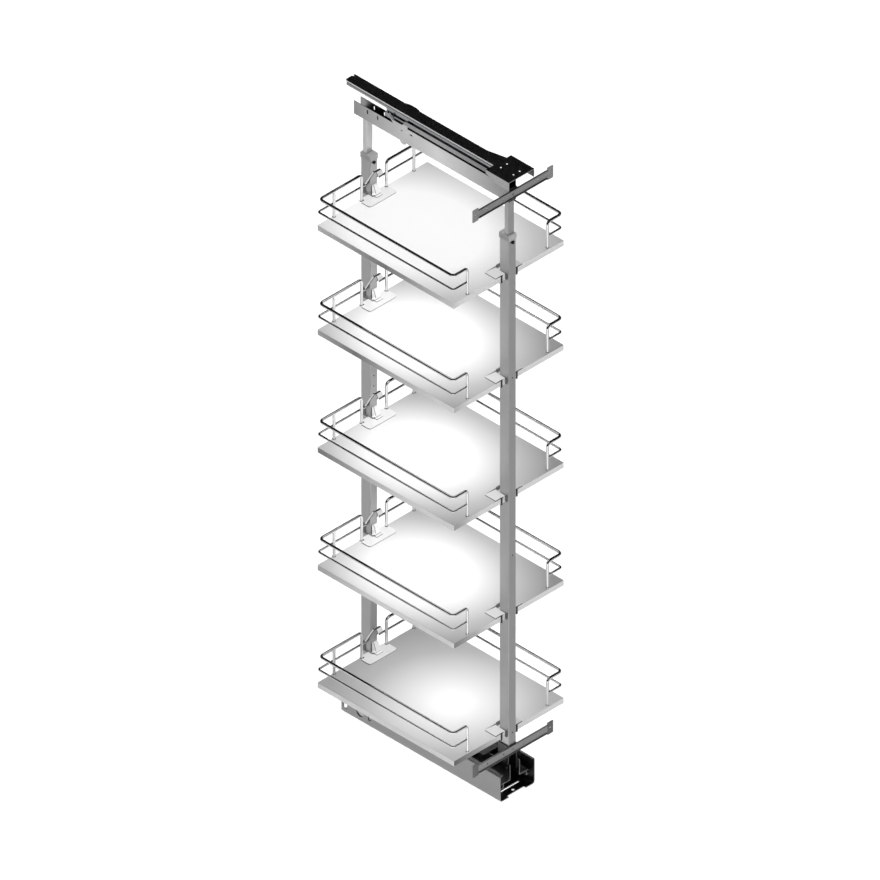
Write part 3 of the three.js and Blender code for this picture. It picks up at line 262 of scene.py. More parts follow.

# %% [markdown]
# ## Melamine-faced board
# The trays are chipboard faced with white melamine. The press plate leaves a fine pearl texture.
# The facing carries a painted highlight, brightest over the middle of the tray, and painted shade
# that falls to a soft grey towards its corners. So its tone is set out along the distance from a
# bright spot, and the lowest tray, in the shade of all the others, falls off sooner than the top
# one.

# %% A melamine material
def melamine(name, centre_mm, stops, along=0.82):
    """White facing with painted light: its tone follows the distance from a bright spot.

    The distance is measured on the flat of the board, so the third coordinate is dropped, and
    the part of it from front to back counts a little less, which makes the spot an oval.
    """
    material, tree, output = new_material(name)
    place = add_node(tree, "ShaderNodeTexCoord")
    flat = add_node(tree, "ShaderNodeVectorMath", {"operation": "MULTIPLY_ADD"})
    tree.links.new(place.outputs["Object"], flat.inputs[0])
    flat.inputs[1].default_value = (1, along, 0)
    flat.inputs[2].default_value = (-centre_mm[0] * MM, -centre_mm[1] * along * MM, 0)
    distance = add_node(tree, "ShaderNodeVectorMath", {"operation": "LENGTH"})
    tree.links.new(flat.outputs["Vector"], distance.inputs[0])
    pearl = add_node(tree, "ShaderNodeTexNoise", {"Scale": 1 / (2.5 * MM), "Detail": 3.0},
                     Vector=place.outputs["Object"])
    relief = add_node(tree, "ShaderNodeBump", {"Strength": 0.25, "Distance": 0.00005},
                      Height=pearl.outputs["Fac"])
    shader = add_node(tree, "ShaderNodeBsdfPrincipled", {"Roughness": 0.55, "IOR": 1.5},
                      Base_Color=run_of_tones(tree, distance.outputs["Value"], stops),
                      Normal=relief.outputs["Normal"])
    tree.links.new(shader.outputs["BSDF"], output.inputs["Surface"])
    return material


print("helper for facings:", melamine.__name__)

# %% The facings of the five boards
# Painted light on the boards: (distance, tone) stops from the bright spot out to the corners.
MIDDLE_PAINTED_LIGHT = [(0.115, 0.98), (0.20, 0.56), (0.285, 0.285), (0.32, 0.25)]
LOW_PAINTED_LIGHT = [(0.04, 0.96), (0.11, 0.77), (0.22, 0.46), (0.31, 0.35)]
TOP_PAINTED_LIGHT = [(distance * 1.27, min(tone * 1.03, 1.0)) for distance, tone in MIDDLE_PAINTED_LIGHT]
middle_melamine = melamine("white_melamine", (-30, 25), MIDDLE_PAINTED_LIGHT)
facings = {1: melamine("shaded_white_melamine", (-15, -70), LOW_PAINTED_LIGHT, along=1.0),
           2: middle_melamine, 3: middle_melamine, 4: middle_melamine,
           5: melamine("open_white_melamine", (-30, 40), TOP_PAINTED_LIGHT)}
print("facings:", [facings[tray].name for tray in TRAYS])

# %% [markdown]
# ## The edge strips
# The boards' edges carry a thin white strip, glossier than the facing, with painted light and
# shade in its colour: light along most of its length and darker towards one end, lower down on
# the front and higher up on the sides. Each strip has its painted tones set out along one slanting
# line.

# %% An edge strip with its run of tones
def painted_tone_strip(name, line, stops):
    """A strip whose painted light and shade follow the distance along a line, in metres.

    The distance is the dot product of the place with the line.
    """
    material, tree, output = new_material(name)
    place = add_node(tree, "ShaderNodeTexCoord")
    along = add_node(tree, "ShaderNodeVectorMath", {"operation": "DOT_PRODUCT"})
    tree.links.new(place.outputs["Object"], along.inputs[0])
    along.inputs[1].default_value = line
    shader = add_node(tree, "ShaderNodeBsdfPrincipled", {"Roughness": 0.5},
                      Base_Color=run_of_tones(tree, along.outputs["Value"], stops))
    tree.links.new(shader.outputs["BSDF"], output.inputs["Surface"])
    return material


painted_front_strip = painted_tone_strip("painted_light_front_edge", (1, 0, 0.108),
                         [(-0.166, 0.10), (-0.084, 0.32), (-0.002, 0.64)])
painted_side_strip = painted_tone_strip("painted_light_side_edge", (0, 1, 0.33),
                        [(0.215, 0.825), (0.497, 0.23), (0.72, 0.58)])
print("strips:", painted_front_strip.name, painted_side_strip.name)

# %% [markdown]
# ## Dressing the engineering model
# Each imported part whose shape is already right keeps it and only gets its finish.

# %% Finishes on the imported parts
def dress(material, *names):
    """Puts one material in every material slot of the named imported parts."""
    for name in names:
        slots = nodes[name].data.materials
        slots.clear()
        slots.append(material)


ENDS = ("front", "rear")
SIDE_NAMES = ("left", "right")
dress(housing_steel, "base_housing", *[f"carriage_{s}" for s in SIDE_NAMES])
dress(foot_steel, "carriage_plate", *[f"{e}_post_foot" for e in ENDS])
dress(runner_steel, *[f"{part}_{s}" for s in SIDE_NAMES for part in
                      ("fixed_track", "middle_rail", "outer_ball_cage", "inner_ball_cage")],
      "top_track", "top_slider")
dress(post_steel, *[f"{e}_{part}" for e in ENDS for part in ("outer_post", "inner_post")])
dress(back_post_steel, "rear_inner_post")
dress(channel_steel, "upper_channel")
dress(bar_steel, "lower_front_bar", "upper_front_bar")
dress(rail_steel, "top_rail")
dress(collar_nylon, *[f"{e}_post_collar" for e in ENDS])
dress(black_oxide, *[f"{e}_clamp_screw" for e in ENDS])
for tray in TRAYS:
    dress(shaded_white_enamel, f"tray{tray}_front_bracket")
    dress(shaded_white_enamel if tray == 1 else white_enamel, f"tray{tray}_rear_bracket")
print("the top rail wears", nodes["top_rail"].data.materials[0].name)

# %% [markdown]
# ## Darker finishes on some faces
# The holes, the insides of the tubes and the channel's open end get a dark painted shade, and the
# brackets' hooks are black. These faces get a second finish, picked by where they lie and which way
# they face.

# %% A second finish on picked faces
def face_values(mesh, key, width=3, kind=float):
    """One value of every face as an array: a row for each of its coordinates."""
    values = np.zeros(width * len(mesh.polygons), kind)
    mesh.polygons.foreach_get(key, values)
    return values.reshape(-1, width).T


def second_finish(name, material, pick):
    """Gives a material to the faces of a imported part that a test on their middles, in
    millimetres, and their outward directions picks. Returns how many it picked."""
    mesh = nodes[name].data
    before = face_values(mesh, "material_index", 1, int)[0]
    picked = pick(face_values(mesh, "center") / MM, face_values(mesh, "normal"))
    if material.name not in mesh.materials:
        mesh.materials.append(material)
    number = mesh.materials.find(material.name)
    mesh.polygons.foreach_set("material_index", np.where(picked, number, before))
    return int(picked.sum())


print("faces of the top rail:", len(face_values(nodes["top_rail"].data, "normal")[0]))

# %% Tests for round holes and for the inside of a post
POST_YS = (-237.0, 232.0)
BORE_HALF_X, BORE_HALF_Y = 11.5, 15.5


def round_bore(middle, direction):
    """Faces of a hole drilled along y: they face across it, but not squarely along x or z."""
    across, along, up = np.abs(direction)
    return (along < 0.01) & (across > 0.15) & (up > 0.15)


def inside_post(middle, direction):
    """Faces that look at the middle line of their post from inside its wall.

    Such a face has a negative dot product of its direction and its place beside that line.
    """
    post_y = np.where(middle[1] < 0, POST_YS[0], POST_YS[1])
    inwards = direction[0] * middle[0] + direction[1] * (middle[1] - post_y) < 0
    within = (np.abs(middle[0]) < BORE_HALF_X) & (np.abs(middle[1] - post_y) < BORE_HALF_Y)
    return inwards & within


front_post = nodes["front_outer_post"].data
in_front_post = inside_post(face_values(front_post, "center") / MM,
                            face_values(front_post, "normal"))
print("inner faces of the front post:", int(in_front_post.sum()))

# %% Insides of the posts, the channel and the holes
CHANNEL_FRONT = -220
# A dark painted shade for the holes, the insides of the posts and the channel's open end.
painted_shade_inside = coated("painted_shade_steel_inside", "#1c1c1c", 0.7, 1.0, 0.01)
for end in ENDS:
    print(end, "post:", second_finish(f"{end}_outer_post", painted_shade_inside, inside_post),
          second_finish(f"{end}_outer_post", painted_shade_inside, round_bore))
print("channel end:", second_finish("upper_channel", painted_shade_inside,
                                    lambda m, d: (d[1] < -0.5) & (m[1] < CHANNEL_FRONT)))

# %% [markdown]
# ## The front bars
# A cabinet front is screwed to the two bars. Their folded lips and the lower bar's end plates are
# darker than the web between them: painted shade. Their holes get a dark painted shade too.

# %% Lips, end plates and holes of the front bars
WEB_HALF_LENGTH, WEB_HALF_HEIGHT, LIP_FRONT = 117.6, 10.95, -258
# Painted shade for the bars' lips and the lower bar's end plates.
shaded_bar_steel = rolled_steel("painted_shade_bar_steel", "#848484", 0.45, ACROSS)
for level, middle_z, end_steel in (("lower", 122.0, shaded_bar_steel), ("upper", 1765.0, bar_steel)):
    bar = f"{level}_front_bar"
    print(level, "bar:", second_finish(bar, painted_shade_inside, round_bore),
          second_finish(bar, end_steel, lambda m, d: np.abs(m[0]) > WEB_HALF_LENGTH),
          second_finish(bar, shaded_bar_steel,
                        lambda m, d: (np.abs(m[2] - middle_z) > WEB_HALF_HEIGHT)
                        & (m[1] < LIP_FRONT)))

# %% [markdown]
# ## The flank of the top rail
# The rail is a folded strip. The fold catches the light along its upper edge, and the flank below
# it lies in the shade, so a painted highlight and a painted shade meet at one height.

# %% The folded flank
RAIL_SIDE = -16.5
rail_flank = painted_tone_strip("painted_light_rail_flank", (0, 0, 1), [(1.8296, 0.15), (1.8306, 0.74)])
print("rail flank:", second_finish("top_rail", rail_flank,
                                   lambda m, d: (d[0] < -0.5) & (np.abs(m[0] - RAIL_SIDE) < 0.2)))

# %% [markdown]
# ## The tray brackets
# The plates' edges, the lugs and the rims get painted shade, dark on faces turned left and lighter
# on faces turned forward, and the right of the front plate's top a soft painted shade. The hooks
# of the front bracket are black, and the mouth of the rear bracket's clip gets a dark painted
# shade.

# %% Where the brackets' faces lie
TRAY_FRONT, TRAY_BACK = -242.5, 224.5
BOARD_TOPS = (173.0, 521.4, 869.8, 1218.2, 1527.3)
PLATE_EDGE_TOP, RIM_TOP = 3.35, 6.45
CLIP_HALF, POST_HALF, HOOK_INNER, PAD_EDGE = 12.6, 15, 20, 12
RIM_FRONT, CLIP_FRONT, MOUTH_BACK, MOUTH_HALF = 203, 207, 219, 12.5
# Painted shade for the brackets' edges, lugs and rims, in three tones from dark to light.
shaded_enamel = coated("painted_shade_enamel", "#6b6b6b", 0.4, 3.0, 0.01)
painted_lit_edge = coated("painted_lit_edge_enamel", "#a8a8a8", 0.4, 3.0, 0.01)
painted_soft_shade = coated("painted_soft_shade_enamel", "#bebebe", 0.4, 3.0, 0.01)


def on_plate_edge(middle, top):
    """Faces of a rear bracket no higher than its plate."""
    return middle[2] < top + PLATE_EDGE_TOP


def on_low_rim(middle, top):
    """Faces of the low rim that runs round the rear post."""
    return ((np.abs(middle[0]) < POST_HALF) & (middle[1] > RIM_FRONT)
            & (middle[2] > top + PLATE_EDGE_TOP) & (middle[2] < top + RIM_TOP))


lowest = face_values(nodes["tray1_rear_bracket"].data, "center") / MM
print("faces of a rear bracket:", len(lowest[0]), "with",
      int(on_plate_edge(lowest, BOARD_TOPS[0]).sum()), "on the plate and",
      int(on_low_rim(lowest, BOARD_TOPS[0]).sum()), "on the low rim")

# %% The brackets' second finishes
for tray, top in zip(TRAYS, BOARD_TOPS):
    front, rear = f"tray{tray}_front_bracket", f"tray{tray}_rear_bracket"
    second_finish(front, painted_soft_shade, lambda m, d: (m[0] > PAD_EDGE) & (d[2] > 0.5))
    second_finish(front, shaded_enamel, lambda m, d: (d[0] < -0.5) | (np.abs(m[0]) < POST_HALF))
    hooks = second_finish(front, black_hook_finish,
                          lambda m, d: (m[1] < TRAY_FRONT + 0.2) & (np.abs(m[0]) > HOOK_INNER))
    second_finish(rear, painted_lit_edge, lambda m, d: on_plate_edge(m, top) & (d[1] < -0.3))
    second_finish(rear, shaded_enamel, lambda m, d: on_plate_edge(m, top) & (d[0] < -0.5))
    rims = second_finish(rear, shaded_enamel,
                         lambda m, d: (np.abs(m[0]) > CLIP_HALF) & (np.abs(m[0]) < POST_HALF)
                         & (m[1] > CLIP_FRONT) & (m[2] > top + PLATE_EDGE_TOP))
    second_finish(rear, painted_lit_edge, lambda m, d: on_low_rim(m, top) & (d[2] > 0.5))
    second_finish(rear, shaded_enamel, lambda m, d: on_low_rim(m, top) & (np.abs(d[2]) < 0.2))
    mouths = second_finish(rear, painted_shade_inside,
                           lambda m, d: (d[0] < -0.5) & (np.abs(m[0]) < MOUTH_HALF)
                           & (m[1] < MOUTH_BACK) & (m[2] > top + PLATE_EDGE_TOP))
print("faces on each tray:", hooks, "on hooks,", rims, "on rims,", mouths, "in the clip's mouth")

# %% [markdown]
# ## Helpers for surfaces
# A new piece is a grid of points worked out with numpy. One function turns a grid into faces, and
# another puts points and faces into a mesh. A piece rides on a body of the engineering model, so
# it follows every joint.

# %% Grids to meshes
def grid_faces(rows, columns):
    """Quads of a grid whose columns close on themselves: each joins a point to the next in its
    row and to the same two in the next row, so a tube's faces point outwards."""
    row, column = np.meshgrid(np.arange(rows - 1), np.arange(columns), indexing="ij")
    here = row * columns + column
    beside = row * columns + (column + 1) % columns
    quads = np.stack([here, beside, beside + columns, here + columns], axis=-1)
    return quads.reshape(-1, 4)


def closed_tube(rings):
    """Points and faces of a stack of rings, with a flat cap on the first and the last."""
    rows, columns = rings.shape[:2]
    points = rings.reshape(-1, 3)
    faces = grid_faces(rows, columns).tolist()
    faces.append(np.arange(columns)[::-1].tolist())
    faces.append((np.arange(columns) + (rows - 1) * columns).tolist())
    return points, faces


print("quads of a 3 by 4 grid:", len(grid_faces(3, 4)))


# %% Solids as one
def merge(solids):
    """Several lists of points and faces as one, with the face numbers moved on."""
    points, faces, count = [], [], 0
    for own_points, own_faces in solids:
        points.append(own_points)
        faces += [[corner + count for corner in face] for face in own_faces]
        count += len(own_points)
    return np.concatenate(points), faces


cube = closed_tube(np.array([[(0, 0, z), (1, 0, z), (1, 1, z), (0, 1, z)] for z in (0, 1)], float))
print("faces of two cubes as one:", len(merge([cube, cube])[1]))


# %% An object, and a piece that rides on a body
def mesh_object(name, points, faces, *materials):
    """An object at the origin with its place in its mesh."""
    mesh = bpy.data.meshes.new(name)
    mesh.from_pydata(points.tolist(), [], faces)
    for material in materials:
        mesh.materials.append(material)
    made = bpy.data.objects.new(name, mesh)
    bpy.context.scene.collection.objects.link(made)
    return made


def piece(name, solids, materials, body, slot, stands_for=None, smooth_angle=35):
    """A mesh of closed solids in millimetres, which rides on a body and may replace a part."""
    points, faces = merge(solids)
    made = mesh_object(name, points * MM, faces, *materials)
    made.data.validate()
    made.data.shade_smooth()
    made.data.set_sharp_from_angle(angle=np.radians(smooth_angle))
    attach(made, body)
    if stands_for:
        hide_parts(stands_for)
    return made


print("helpers for pieces:", mesh_object.__name__, piece.__name__)

# %% [markdown]
# ## Bent wire
# Each tray has a rail on each side, bent from one length of 7.6 mm wire. A 5.6 mm wire is welded to
# the side of its front leg and behind its back legs, and ends beside the lever. A bend is a
# circular arc that touches both straight runs. The tube itself is a circle carried along that
# line, turned at each point so that it never twists.

# %% A line with round bends
def bent_line(corners, radius, steps=8):
    """Points along a wire: each inner corner becomes an arc from one run to the next.

    With half the angle between the runs called a, the arc starts radius / tan(a) from the
    corner, and its centre lies radius / sin(a) from the corner on the line that halves it.
    """
    corners = np.asarray(corners, float)
    stations = [corners[:1]]
    for before, corner, after in zip(corners[:-2], corners[1:-1], corners[2:]):
        back = (before - corner) / np.linalg.norm(before - corner)
        onward = (after - corner) / np.linalg.norm(after - corner)
        half = np.arccos(np.clip(back @ onward, -1, 1)) / 2
        middle = (back + onward) / np.linalg.norm(back + onward)
        centre = corner + middle * radius / np.sin(half)
        first = corner + back * radius / np.tan(half) - centre
        last = corner + onward * radius / np.tan(half) - centre
        turn = np.arccos(np.clip(first @ last / radius ** 2, -1, 1))
        share = np.linspace(0, 1, steps + 1)[:, None]
        arc = (np.sin((1 - share) * turn) * first + np.sin(share * turn) * last) / np.sin(turn)
        stations.append(centre + arc)
    stations.append(corners[-1:])
    return np.concatenate(stations)


elbow = bent_line([(0, 0, 0), (0, 0, 50), (50, 0, 50)], 10)
print("points along a bend of 10 mm:", len(elbow))


# %% A section carried along a line
def swept(line, section):
    """A section of (across, up) points carried along a line without twisting.

    Each new frame is the one before it, turned by the rotation between the two directions.
    """
    run = np.gradient(line, axis=0)
    run /= np.linalg.norm(run, axis=1)[:, None]
    across = np.cross(run[0], [0.31, 0.53, 0.79])
    across /= np.linalg.norm(across)
    frames = []
    for direction in run:
        across = across - (across @ direction) * direction
        across /= np.linalg.norm(across)
        frames.append(np.stack([across, np.cross(direction, across)]))
    rings = line[:, None, :] + np.einsum("ck,skd->scd", section, np.array(frames))
    return closed_tube(rings)


def circle(radius, count=20):
    """Points round a circle: the radius times the cosine and the sine of evenly spaced turns."""
    turn = np.arange(count) * 2 * np.pi / count
    return radius * np.stack([np.cos(turn), np.sin(turn)], axis=1)


print("faces of a swept bend:", len(swept(elbow, circle(3.8))[1]))

# %% [markdown]
# ## Rings
# A ring that sits round a leg is its profile turned about an upright line, as on a lathe.

# %% Turned rings
def turned(profile, centre, count=24):
    """A profile of (radius, height) pairs turned about an upright line through a centre.

    Each pair becomes a ring: the radius times the cosine and the sine of the turn, at its height.
    """
    radius, height = np.asarray(profile, float).T
    turn = np.arange(count) * 2 * np.pi / count
    rings = np.stack([radius[:, None] * np.cos(turn), radius[:, None] * np.sin(turn),
                      np.repeat(height[:, None], count, 1)], axis=-1)
    return closed_tube(rings + np.asarray(centre, float))


STOP_RING = [(3.9, 0.3), (4.7, 0.3), (5.0, 0.7), (5.0, 2.1), (4.6, 2.7), (3.9, 2.8)]
print("faces of a stop ring:", len(turned(STOP_RING, (0, 0, 0))[1]))

# %% [markdown]
# ## The tray rails
# The upper wire rises from a socket in the board, turns outwards, runs back along the side and
# returns to a leg beside the rear post. A stop ring on each leg rests on the board.

# %% Wire rails of the five trays
WIRE_RADIUS, LOW_RADIUS = 3.8, 2.8
WIRE_TOP, LOW_TOP = 77.5, 36.5
PEG, LEG_INSET = 8.0, 5.4
LEG_FRONT = (137.0, TRAY_FRONT + LEG_INSET)
LEG_REAR = (136.5, TRAY_BACK - LEG_INSET)
LEG_END = (42.5, TRAY_BACK - LEG_INSET)
SIDE_X, LOW_SIDE_X, LOW_END_X = 185.5, 185.0, 24.0
WELD_DEPTH = 0.8
WELD = WIRE_RADIUS + LOW_RADIUS - WELD_DEPTH
BEND, LOW_BEND = 10, 6


def rail_solids(side, top):
    """The two wires, the third leg and the stop rings of one rail."""
    (front_x, front_y), (rear_x, rear_y), (end_x, end_y) = LEG_FRONT, LEG_REAR, LEG_END
    upper = bent_line([(side * front_x, front_y, top - PEG),
                       (side * front_x, front_y, top + WIRE_TOP),
                       (side * SIDE_X, front_y, top + WIRE_TOP),
                       (side * SIDE_X, end_y, top + WIRE_TOP),
                       (side * end_x, end_y, top + WIRE_TOP),
                       (side * end_x, end_y, top - PEG)], BEND)
    lower = bent_line([(side * front_x, front_y, top + LOW_TOP),
                       (side * LOW_SIDE_X, front_y, top + LOW_TOP),
                       (side * LOW_SIDE_X, end_y + WELD, top + LOW_TOP),
                       (side * LOW_END_X, end_y + WELD, top + LOW_TOP)], LOW_BEND)
    leg = np.array([(side * rear_x, rear_y, top - PEG), (side * rear_x, rear_y, top + WIRE_TOP)])
    rings = [turned(STOP_RING, (side * x, y, top)) for x, y in (LEG_FRONT, LEG_REAR, LEG_END)]
    return [swept(upper, circle(WIRE_RADIUS)), swept(lower, circle(LOW_RADIUS, 16)),
            swept(leg, circle(WIRE_RADIUS)), *rings]


for tray, top in zip(TRAYS, BOARD_TOPS):
    for side_name, side in SIDES:
        rail = piece(f"wire_rail_{tray}_{side_name}", rail_solids(side, top), [chrome],
                     f"tray{tray}", "chrome_wire", f"tray{tray}_rail_{side_name}")
print("wire rails:", len(TRAYS) * len(SIDES), "of", len(rail.data.polygons), "faces each")

# %% [markdown]
# ## The boards
# A board is its outline, notched for both posts, carried through four heights: the two outer
# ones are drawn in by the small radius that a hand feels along every edge.

# %% Outlines
def drawn_in(outline, distance):
    """The outline moved inwards: each corner goes along the sum of its two edge normals, divided
    by one plus their dot product, which keeps every edge parallel to itself."""
    edge = np.roll(outline, -1, axis=0) - outline
    normal = np.stack([edge[:, 1], -edge[:, 0]], axis=1) / np.linalg.norm(edge, axis=1)[:, None]
    before = np.roll(normal, 1, axis=0)
    lean = 1 + np.sum(normal * before, axis=1, keepdims=True)
    return outline - distance * (normal + before) / lean


def rounded(corners, steps=5):
    """An outline of (x, y, radius) corners, each of them rounded.

    The curve weighs its start by (1 - t) squared, the corner by 2 t (1 - t) and its end by
    t squared, while t goes from 0 to 1.
    """
    corners = np.asarray(corners, float)
    pieces = []
    neighbours = np.roll(corners, 1, 0), corners, np.roll(corners, -1, 0)
    for before, (x, y, radius), after in zip(*neighbours):
        if radius == 0:
            pieces.append([[x, y]])
            continue
        here = np.array([x, y])
        start = here + radius * (before[:2] - here) / np.linalg.norm(before[:2] - here)
        end = here + radius * (after[:2] - here) / np.linalg.norm(after[:2] - here)
        t = np.linspace(0, 1, steps + 1)[:, None]
        pieces.append((1 - t) ** 2 * start + 2 * t * (1 - t) * here + t ** 2 * end)
    return np.concatenate(pieces)


print("points of a rounded square:", len(rounded([(0, 0, 2), (9, 0, 2), (9, 9, 2), (0, 9, 2)])))


# %% A plate with eased edges
def slab(outline, low, high, ease):
    """A plate between two heights with its edges eased."""
    levels = [(low, ease), (low + ease, 0), (high - ease, 0), (high, ease)]
    rings = [np.column_stack([drawn_in(outline, inset), np.full(len(outline), z)])
             for z, inset in levels]
    return closed_tube(np.array(rings))


print("faces of a square plate:", len(slab(circle(5, 4), 0, 3, 0.5)[1]))

# %% Boards with eased edges
HALF_BOARD, BOARD_THICKNESS, NOTCH = 188.0, 16.0, 13.6
FRONT_NOTCH, REAR_NOTCH = -220.9, 217.9
board_outline = rounded([
    (-HALF_BOARD, TRAY_FRONT, 2), (-NOTCH, TRAY_FRONT, 0), (-NOTCH, FRONT_NOTCH, 2),
    (NOTCH, FRONT_NOTCH, 2), (NOTCH, TRAY_FRONT, 0), (HALF_BOARD, TRAY_FRONT, 2),
    (HALF_BOARD, TRAY_BACK, 2), (NOTCH, TRAY_BACK, 0), (NOTCH, REAR_NOTCH, 2),
    (-NOTCH, REAR_NOTCH, 2), (-NOTCH, TRAY_BACK, 0), (-HALF_BOARD, TRAY_BACK, 2)])
BOARD_EASE = 0.7
for tray, top in zip(TRAYS, BOARD_TOPS):
    faced = piece(f"faced_board_{tray}",
                  [slab(board_outline, top - BOARD_THICKNESS, top, BOARD_EASE)],
                  [facings[tray], painted_front_strip, painted_side_strip],
                  f"tray{tray}", "white_board", f"tray{tray}_board", smooth_angle=30)
    across, along, up = np.abs(face_values(faced.data, "normal"))
    strip = np.where(up > 0.3, 0, np.where(along > across, 1, 2))
    faced.data.polygons.foreach_set("material_index", strip)
print("boards:", len(TRAYS), "with", int((strip > 0).sum()), "edge faces each")

# %% [markdown]
# ## The clips' feet
# Each spring clip stands on the rear bracket with a small stepped foot. Its top takes the light and
# its upright faces get a painted shade, which draws two thin lines in front of the clip.

# %% Stepped feet of the spring clips
FOOT_STEPS = (((-10, 199), (11, 206), 5.6), ((-10, 205.5), (10.5, 210), 7.6))
PLATE_TOP, FOOT_EASE = 3.2, 0.3


def foot_solids(top):
    """Two low slabs, one behind the other, on the plate of the rear bracket."""
    return [slab(np.array([(x0, y0), (x1, y0), (x1, y1), (x0, y1)], float),
                 top + PLATE_TOP, top + height, FOOT_EASE)
            for (x0, y0), (x1, y1), height in FOOT_STEPS]


for tray, top in zip(TRAYS, BOARD_TOPS):
    foot = piece(f"clip_foot_{tray}", foot_solids(top), [white_enamel, shaded_enamel],
                 f"tray{tray}", "white_steel")
    upright = face_values(foot.data, "normal")[2] < 0.3
    foot.data.polygons.foreach_set("material_index", upright.astype(int))
print("clip feet:", len(TRAYS), "with", int(upright.sum()), "shaded faces each")

# %% [markdown]
# ## The latch levers
# The lever is a pressed nickel-plated arm on the left of the rear post. It rises forward from its
# pivot and ends in a rolled lip for a finger, in front of the post. The arm is a plate that
# follows a smooth curve through a few points, with eased edges, and the lip is an arc of sheet.
# The lip gets a light painted shade, and its crest and all cut edges a dark painted shade.

# %% Curves and plates for the levers
def smooth_through(points, steps=8):
    """A curve through points: between two of them it is a cubic whose slope at each point is half
    the step between its neighbours."""
    padded = np.concatenate([2 * points[:1] - points[1:2], points, 2 * points[-1:] - points[-2:-1]])
    t = np.linspace(0, 1, steps, endpoint=False)[:, None]
    parts = [0.5 * (2 * b + (c - a) * t + (2 * a - 5 * b + 4 * c - d) * t ** 2
                    + (3 * b - a - 3 * c + d) * t ** 3)
             for a, b, c, d in zip(padded[:-3], padded[1:-2], padded[2:-1], padded[3:])]
    return np.concatenate([*parts, points[-1:]])


def flat_solid(profile, low_x, high_x, ease=0.5):
    """A (y, z) outline as a plate across x, with its edges eased."""
    levels = [(low_x, ease), (low_x + ease, 0), (high_x - ease, 0), (high_x, ease)]
    rings = [np.column_stack([np.full(len(profile), x), drawn_in(profile, inset)])
             for x, inset in levels]
    return closed_tube(np.array(rings))


def ribbon(line, half_width):
    """The outline of a ribbon about a (y, z) line: one side up and the other side back.

    Each side lies half a width from the line, along its direction turned by a quarter.
    """
    run = np.gradient(line, axis=0)
    run /= np.linalg.norm(run, axis=1)[:, None]
    beside = np.stack([-run[:, 1], run[:, 0]], axis=1) * half_width
    return np.concatenate([line - beside, (line + beside)[::-1]])


print("points through three:", len(smooth_through(np.array([(0, 0), (8, 8), (21, 31)], float))))

# %% The solids of one lever
PIVOT = (-15.8, 241.0, 22.0)
ARM_RISE = np.array([(0, 0), (8, 8), (21, 31), (30, 47), (38, 60)], float)
ARM_END = ARM_RISE[-1]
ARM_HALF_WIDTHS = ([0, 0.3, 1], [2.6, 3.1, 2.9])
ARM_HALF_THICKNESS, ARM_EASE = 1.5, 1.0
BOSS_RADIUS, STUD_RADIUS, STUD_START, STUD_END, STUD_EASE = 4.5, 2.0, 1.0, 3.5, 0.2
LIP_RADIUS, LIP_WIDTH, LIP_HALF, LIP_EASE = 7.0, 18.5, 1.1, 0.8
LIP_START, LIP_FINISH = 37, 235


def lever_solids(top):
    """The arm, its round boss, its stud and the rolled finger lip."""
    x, y, z = PIVOT[0], PIVOT[1], PIVOT[2] + top
    left, right = x - ARM_HALF_THICKNESS, x + ARM_HALF_THICKNESS
    curve = smooth_through(ARM_RISE)
    arm_line = np.column_stack([y - curve[:, 0], z + curve[:, 1]])
    widths = np.interp(np.linspace(0, 1, len(arm_line)), *ARM_HALF_WIDTHS)[:, None]
    arm = ribbon(arm_line, widths)
    boss = circle(BOSS_RADIUS, 28) + (y, z)
    stud = circle(STUD_RADIUS, 20) + (y, z)
    turn = np.radians(np.linspace(LIP_START, LIP_FINISH, 28))
    lip_line = np.stack([np.cos(turn), np.sin(turn)], axis=1) * LIP_RADIUS
    lip_line += (y - ARM_END[0], z + ARM_END[1]) - lip_line[0]
    return [flat_solid(arm, left, right, ARM_EASE), flat_solid(boss, left, right),
            flat_solid(stud, x + STUD_START, x + STUD_END, STUD_EASE),
            flat_solid(ribbon(lip_line, LIP_HALF), left, left + LIP_WIDTH, LIP_EASE)]


print("faces of a lever:", [len(faces) for points, faces in lever_solids(0)])

# %% Levers of the five trays
for tray, top in zip(TRAYS, BOARD_TOPS):
    solids = lever_solids(top)
    lever = piece(f"finger_lever_{tray}", solids, [lever_nickel, painted_shade_lever_edge, shaded_lip_nickel],
                  f"lever{tray}", "bright_steel", f"tray{tray}_latch_lever")
    across, along, up = face_values(lever.data, "normal")
    is_lip = np.arange(len(across)) >= sum(len(faces) for points, faces in solids[:3])
    # Painted shade: dark on the cut edges and on the lip's crest.
    painted_dark_faces = np.where(is_lip, (np.abs(across) > 0.3) | (up > 0.93), np.abs(across) < 0.9)
    lever.data.polygons.foreach_set("material_index",
                                    np.where(painted_dark_faces, 1, np.where(is_lip, 2, 0)))
print("levers:", len(TRAYS), "with", int(painted_dark_faces.sum()), "dark faces each")

# %% [markdown]
# ## The studio
# A white floor, even light with no hard shadows, and a dark tent overhead that only mirrors see.
# The tent is what makes flat steel and the tops of the wires look black, while upright faces
# mirror the white floor below its rim.

# %% The floor
def stage_sheet(name, points, faces, material):
    """A sheet that is kept out of the object as stage."""
    made = mesh_object(name, np.asarray(points, float), faces, material)
    return made


